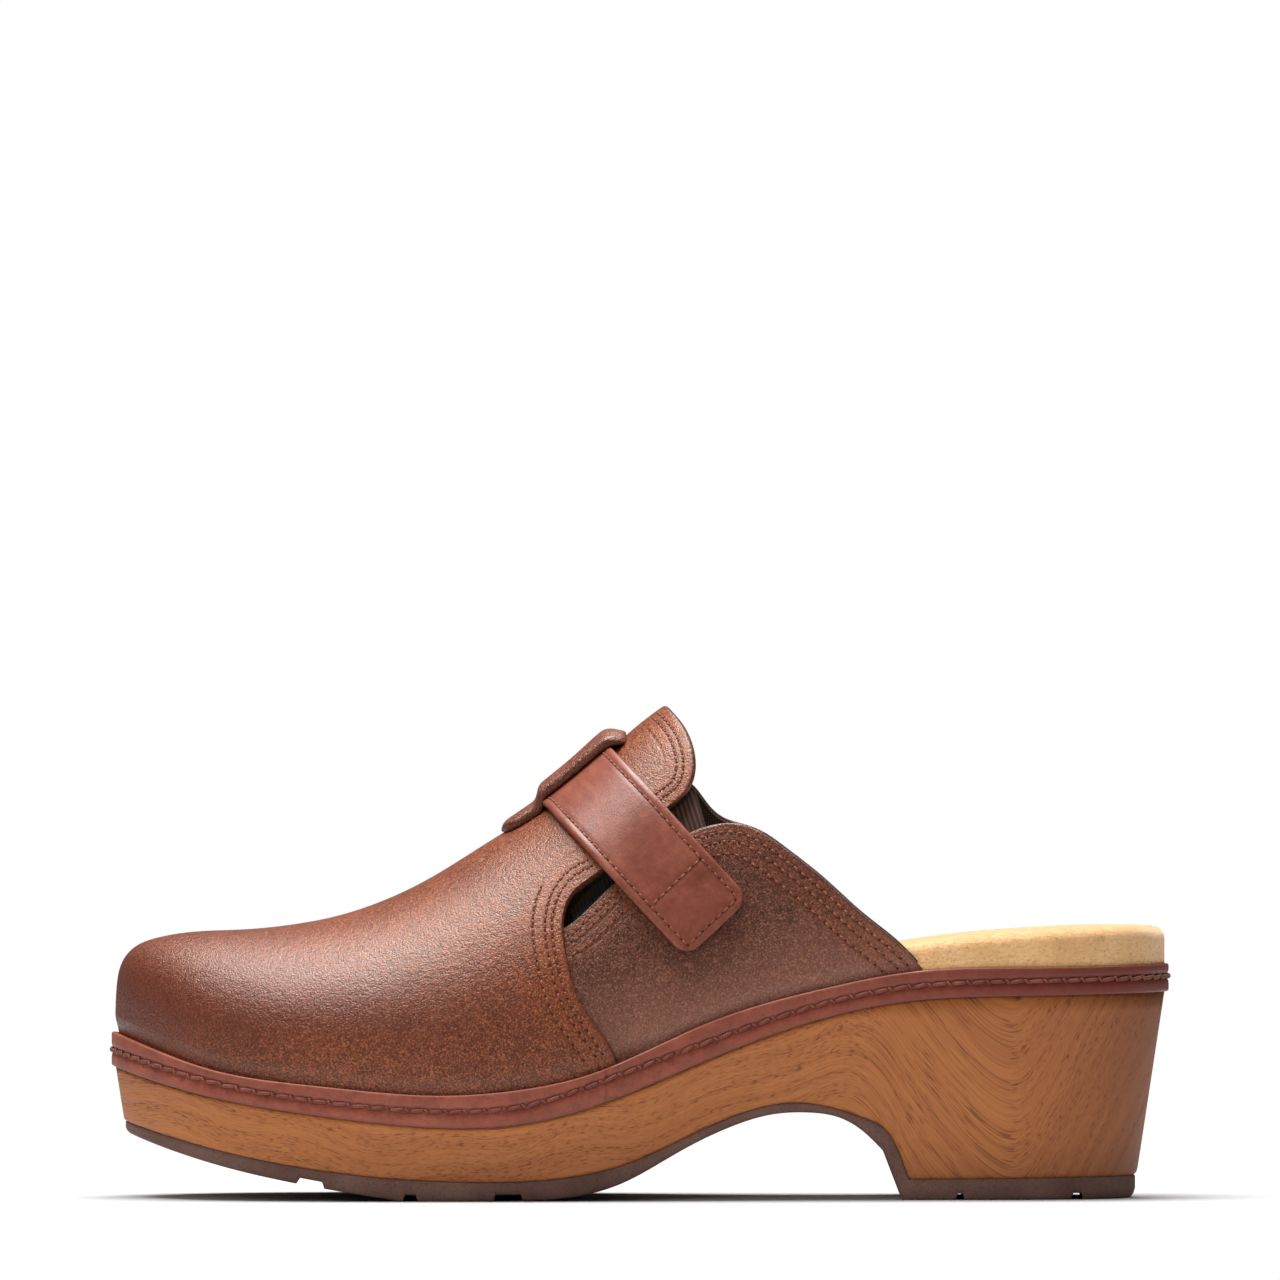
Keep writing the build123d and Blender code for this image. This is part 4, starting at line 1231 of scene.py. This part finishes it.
def cloth_look(name, dark, light, pitch):
    """A plain woven lining."""
    look = Look(name)
    at = look.coords("UV", (MM, MM, MM))
    warp = look.add("TexWave", {"Vector": at, "Scale": pitch, "Distortion": 0.6, "Detail": 1.0},
                    wave_type="BANDS", bands_direction="X").outputs["Fac"]
    weft = look.add("TexWave", {"Vector": at, "Scale": pitch, "Distortion": 0.6, "Detail": 1.0},
                    wave_type="BANDS", bands_direction="Y").outputs["Fac"]
    weave = look.math("MULTIPLY", warp, weft)
    cloud = look.noise(at, 120, 3, 0.6)
    colour = look.mix(weave, dark, light)
    colour = look.stain(colour, cloud, (0.35, 0.35), (0.65, 0.0), dark)
    normal = look.bump(weave, 0.5, 0.0003)
    return look.finish(Base_Color=colour, Roughness=look.span(cloud, 0.3, 0.7, 0.8, 0.92), Normal=normal)


def gore_look():
    look = Look("gore_elastic")
    at = look.coords("UV", (MM, MM, MM))
    rib = look.add("TexWave", {"Vector": at, "Scale": 240.0, "Distortion": 0.15, "Detail": 0.0},
                   wave_type="BANDS", bands_direction="X").outputs["Fac"]
    knit = look.noise(look.coords("UV", (0.001, 0.004, 0.001)), 1500, 2, 0.6)
    colour = look.ramp(rib, [(0.25, tone(48, 30, 24)), (0.75, tone(98, 66, 52))])
    colour = look.stain(colour, knit, (0.38, 0.5), (0.55, 0.0), tone(40, 25, 20))
    apart = look.add("SeparateXYZ", {"Vector": at})
    # Painted shade: the gore's front end, down in the slot beside the vamp's edge, is made nearly black.
    colour = look.mix(look.span(apart.outputs[0], 0.016, 0.028, 0.93, 0.0), colour, tone(16, 12, 11))
    return look.finish(Base_Color=colour, Roughness=look.span(knit, 0.3, 0.7, 0.72, 0.88),
                       Normal=look.bump(rib, 0.5, 0.0004))


def thread_look(name, dark, light):
    look = Look(name)
    at = look.coords("UV", (1, 1, 1))
    twist = look.add("TexWave", {"Vector": at, "Scale": 1.4, "Distortion": 0.3, "Detail": 1.0},
                     wave_type="BANDS", bands_direction="DIAGONAL").outputs["Fac"]
    cloud = look.noise(look.coords(), 160, 2, 0.6)
    colour = look.mix(look.ramp(cloud, [(0.35, 0.7), (0.65, 0.0)]), look.mix(twist, dark, light), dark)
    return look.finish(Base_Color=colour, Roughness=look.span(twist, 0, 1, 0.55, 0.72),
                       Normal=look.bump(twist, 0.5, 0.0001))


def rand_look():
    """Burnished leather strip, with a painted highlight along its top edge."""
    look = Look("rand_leather")
    at = look.coords()
    cloud = look.noise(at, 70, 4, 0.6, 0.5)
    mottle = look.noise(at, 380, 4, 0.7)
    fine = look.noise(at, 1700, 3, 0.7)
    base, dark, light = tone(143, 72, 53), tone(110, 52, 39), tone(164, 90, 67)
    colour = look.ramp(cloud, [(0.28, dark), (0.52, base), (0.78, light)])
    colour = look.mix(0.45, colour, look.ramp(mottle, [(0.32, dark), (0.5, base), (0.7, light)]))
    colour = look.stain(colour, fine, (0.32, 0.45), (0.44, 0.0), tone(60, 32, 28))
    apart = look.add("SeparateXYZ", {"Vector": look.coords("UV")})
    # Painted highlight: a thin paler line along the strip's top edge.
    edge = look.ramp(apart.outputs[1], [(0.93, 0.0), (0.985, 0.25)])
    colour = look.mix(edge, colour, tone(150, 84, 62))
    # Darker along the strip's bottom edge.
    darker_bottom = look.ramp(apart.outputs[1], [(0.0, 0.5), (0.1, 0.0)])
    colour = look.mix(darker_bottom, colour, tone(74, 38, 32))
    along = look.add("SeparateXYZ", {"Vector": at})
    # Painted shade: the strip darkens towards the heel, away from the front light.
    heel = look.span(along.outputs[0], 0.03, 0.1, 0.0, 0.75)
    colour = look.mix(heel, colour, tone(104, 37, 26))
    height = look.math("ADD", look.math("MULTIPLY", mottle, 0.6), look.math("MULTIPLY", fine, 0.4))
    return look.finish(Base_Color=colour, Roughness=look.span(mottle, 0.3, 0.7, 0.42, 0.58),
                       Normal=look.bump(height, 0.45, 0.0003), Specular_IOR_Level=0.5)


def pile_look(name, dark, light):
    look = Look(name)
    at = look.coords("UV", (MM, MM, MM))
    fuzz = look.noise(at, 2600, 4, 0.8)
    tufts = look.noise(at, 800, 2, 0.6)
    colour = look.ramp(fuzz, [(0.38, dark), (0.62, light)])
    colour = look.stain(colour, tufts, (0.4, 0.7), (0.56, 0.0), dark)
    return look.finish(Base_Color=colour, Roughness=look.span(fuzz, 0.3, 0.7, 0.8, 0.95),
                       Normal=look.bump(fuzz, 0.8, 0.0004))


def backdrop_look():
    look = Look("studio_white")
    soft = look.noise(look.coords(), 2.0, 2, 0.5)
    colour = look.mix(soft, (0.47, 0.47, 0.47, 1), (0.50, 0.50, 0.50, 1))
    return look.finish(Base_Color=colour, Roughness=0.9)


def dress(objs, material):
    for obj in objs:
        obj.data.materials.clear()
        obj.data.materials.append(material)


# ---------------------------------------------------------------- assembly

wood = build_platform()
sole = build_outsole()
rand_strip = build_rand()
rand_thread, rand_knots = build_rand_stitches()
footbed = build_footbed()
vamp = build_vamp()
vamp_cloth = build_vamp_lining()
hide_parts("toe_puff")
quarter_out = build_quarter("quarter_outside", "lateral_quarter", QUARTER_TOP, False)
quarter_in = build_quarter("quarter_inside", "medial_quarter", MEDIAL_TOP, True)
cloth_out = build_quarter_lining("quarter_lining_outside", "lateral_quarter_lining", QUARTER_TOP, False)
cloth_in = build_quarter_lining("quarter_lining_inside", "medial_quarter_lining", MEDIAL_TOP, True)
gore = build_gore()
strap_leather = build_strap()
strap_back = build_strap_backing()
strap_thread, strap_holes = build_strap_stitches()
hooks = pad_sheet("hook_tape", 0.62, 1.05, "hook_pad", 0.10)
loops = pad_sheet("loop_tape", 1.10, 1.50, "loop_pad", 0.08, start=0.58)
keeper = build_keeper()
seams, seam_holes = upper_seams()
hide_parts("strap", "strap_anchor")
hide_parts("strap_backing", "anchor_backing")

suede = leather_look("upper_nubuck", tone(128, 63, 36), tone(70, 29, 17), tone(181, 105, 64),
                     tone(158, 82, 43), toe=tone(88, 40, 30))
# The foot tone here is painted bounce light on the quarters' lower part.
quarter_suede = leather_look("quarter_nubuck", tone(104, 58, 43), tone(60, 30, 22), tone(154, 100, 75),
                             tone(140, 72, 44), foot=tone(130, 90, 74), rows=(2.2, 4.4, 7.4), band=9.0)
keeper_suede = leather_look("keeper_nubuck", tone(124, 66, 46), tone(72, 34, 24), tone(178, 112, 84),
                            tone(130, 70, 48), rows=(), band=-5.0)
smooth_leather = strap_look("strap_pull_up", tone(126, 64, 47), tone(100, 48, 36), tone(150, 84, 63))
raw_leather = strap_look("strap_raw_backing", tone(150, 96, 70), tone(112, 66, 46), tone(176, 122, 92))
dress([wood], wood_look())
dress([sole], rubber_look())
dress([rand_strip], rand_look())
dress([rand_thread, rand_knots], thread_look("rand_waxed_thread", tone(92, 42, 32), tone(150, 80, 60)))
dress([footbed], footbed_look())
dress([vamp], suede)
dress([quarter_out, quarter_in], quarter_suede)
lining_weave = cloth_look("lining_weave", tone(30, 29, 28), tone(66, 66, 62), 520.0)
dress([vamp_cloth, cloth_out, cloth_in], lining_weave)
dress([gore], gore_look())
dress([strap_leather], smooth_leather)
dress([strap_back], raw_leather)
dress([keeper], keeper_suede)
dress([hooks], pile_look("hook_pile", tone(38, 24, 20), tone(92, 64, 52)))
dress([loops], pile_look("loop_pile", tone(60, 34, 24), tone(128, 84, 62)))
# Painted shade: the dark pieces at the needle holes.
dress([strap_holes, seam_holes], thread_look("needle_hole_shade", tone(34, 16, 12), tone(58, 28, 20)))
dress([strap_thread, seams], thread_look("seam_thread", tone(104, 48, 26), tone(176, 96, 54)))

for piece in (wood, sole, rand_strip, rand_thread, rand_knots, footbed, vamp, vamp_cloth, quarter_out,
              quarter_in, cloth_out, cloth_in, gore, keeper, seams, seam_holes, loops):
    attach(piece, "clog")
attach(hooks, "strap_flap")

fold, _ = strap_points(np.array([0.0, 0.16]), np.array([0.5, 0.5]))
for piece in (strap_leather, strap_back, strap_thread, strap_holes):
    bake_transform(piece)

# ---------------------------------------------------------------- studio

SHOT_DISTANCE = 5.0
SHOT_HEIGHT = 0.132
SHOT_WIDTH = 0.3034          # width seen at the middle of the shoe


def area_light(name, place, aim, size, power):
    data = bpy.data.lights.new(name, "AREA")
    data.shape = "RECTANGLE"
    data.size, data.size_y = size
    data.energy = power
    obj = bpy.data.objects.new(name, data)
    bpy.context.scene.collection.objects.link(obj)
    obj.location = place
    obj.rotation_euler = (Vector(aim) - Vector(place)).to_track_quat("-Z", "Y").to_euler()
    return obj


def build_floor():
    """A round white floor, just wider than the soft shadow."""
    sides = 96
    ring = [(FLOOR_RADIUS * math.cos(a), FLOOR_RADIUS * math.sin(a), 0.0)
            for a in np.linspace(0, 2 * math.pi, sides, endpoint=False)]
    return make_mesh("studio_floor", ring, [tuple(range(sides))])


def build_world():
    """Dim white light from all round, with a plain white background."""
    world = bpy.data.worlds.new("studio")
    world.use_nodes = True
    tree = world.node_tree
    tree.nodes.clear()
    out = tree.nodes.new("ShaderNodeOutputWorld")
    mix = tree.nodes.new("ShaderNodeMixShader")
    rays = tree.nodes.new("ShaderNodeLightPath")
    tree.links.new(rays.outputs["Is Camera Ray"], mix.inputs[0])
    for index, strength in ((1, AMBIENT), (2, 1.0)):
        background = tree.nodes.new("ShaderNodeBackground")
        background.inputs["Color"].default_value = (1, 1, 1, 1)
        background.inputs["Strength"].default_value = strength
        tree.links.new(background.outputs[0], mix.inputs[index])
    tree.links.new(mix.outputs[0], out.inputs["Surface"])
    bpy.context.scene.world = world


FLOOR_RADIUS = 450.0
AMBIENT = 0.14
floor = build_floor()
dress([floor], backdrop_look())
top = area_light("top", (-0.1, 0.14, 1.3), (0, 0, 0.05), (1.3, 0.8), 47)
front = area_light("front", (-0.7, -2.1, 0.9), (0, 0, 0.06), (1.4, 1.0), 17.5)
front.visible_glossy = False
build_world()

camera_data = bpy.data.cameras.new("camera")
camera_data.sensor_width = 36.0
camera_data.lens = 36.0 * SHOT_DISTANCE / SHOT_WIDTH
camera_data.clip_end = 50.0
camera = bpy.data.objects.new("camera", camera_data)
bpy.context.scene.collection.objects.link(camera)
camera.location = (0.0, -SHOT_DISTANCE, SHOT_HEIGHT)
camera.rotation_euler = (math.pi / 2, 0.0, 0.0)
bpy.context.scene.camera = camera
bpy.context.scene.view_settings.view_transform = "Standard"
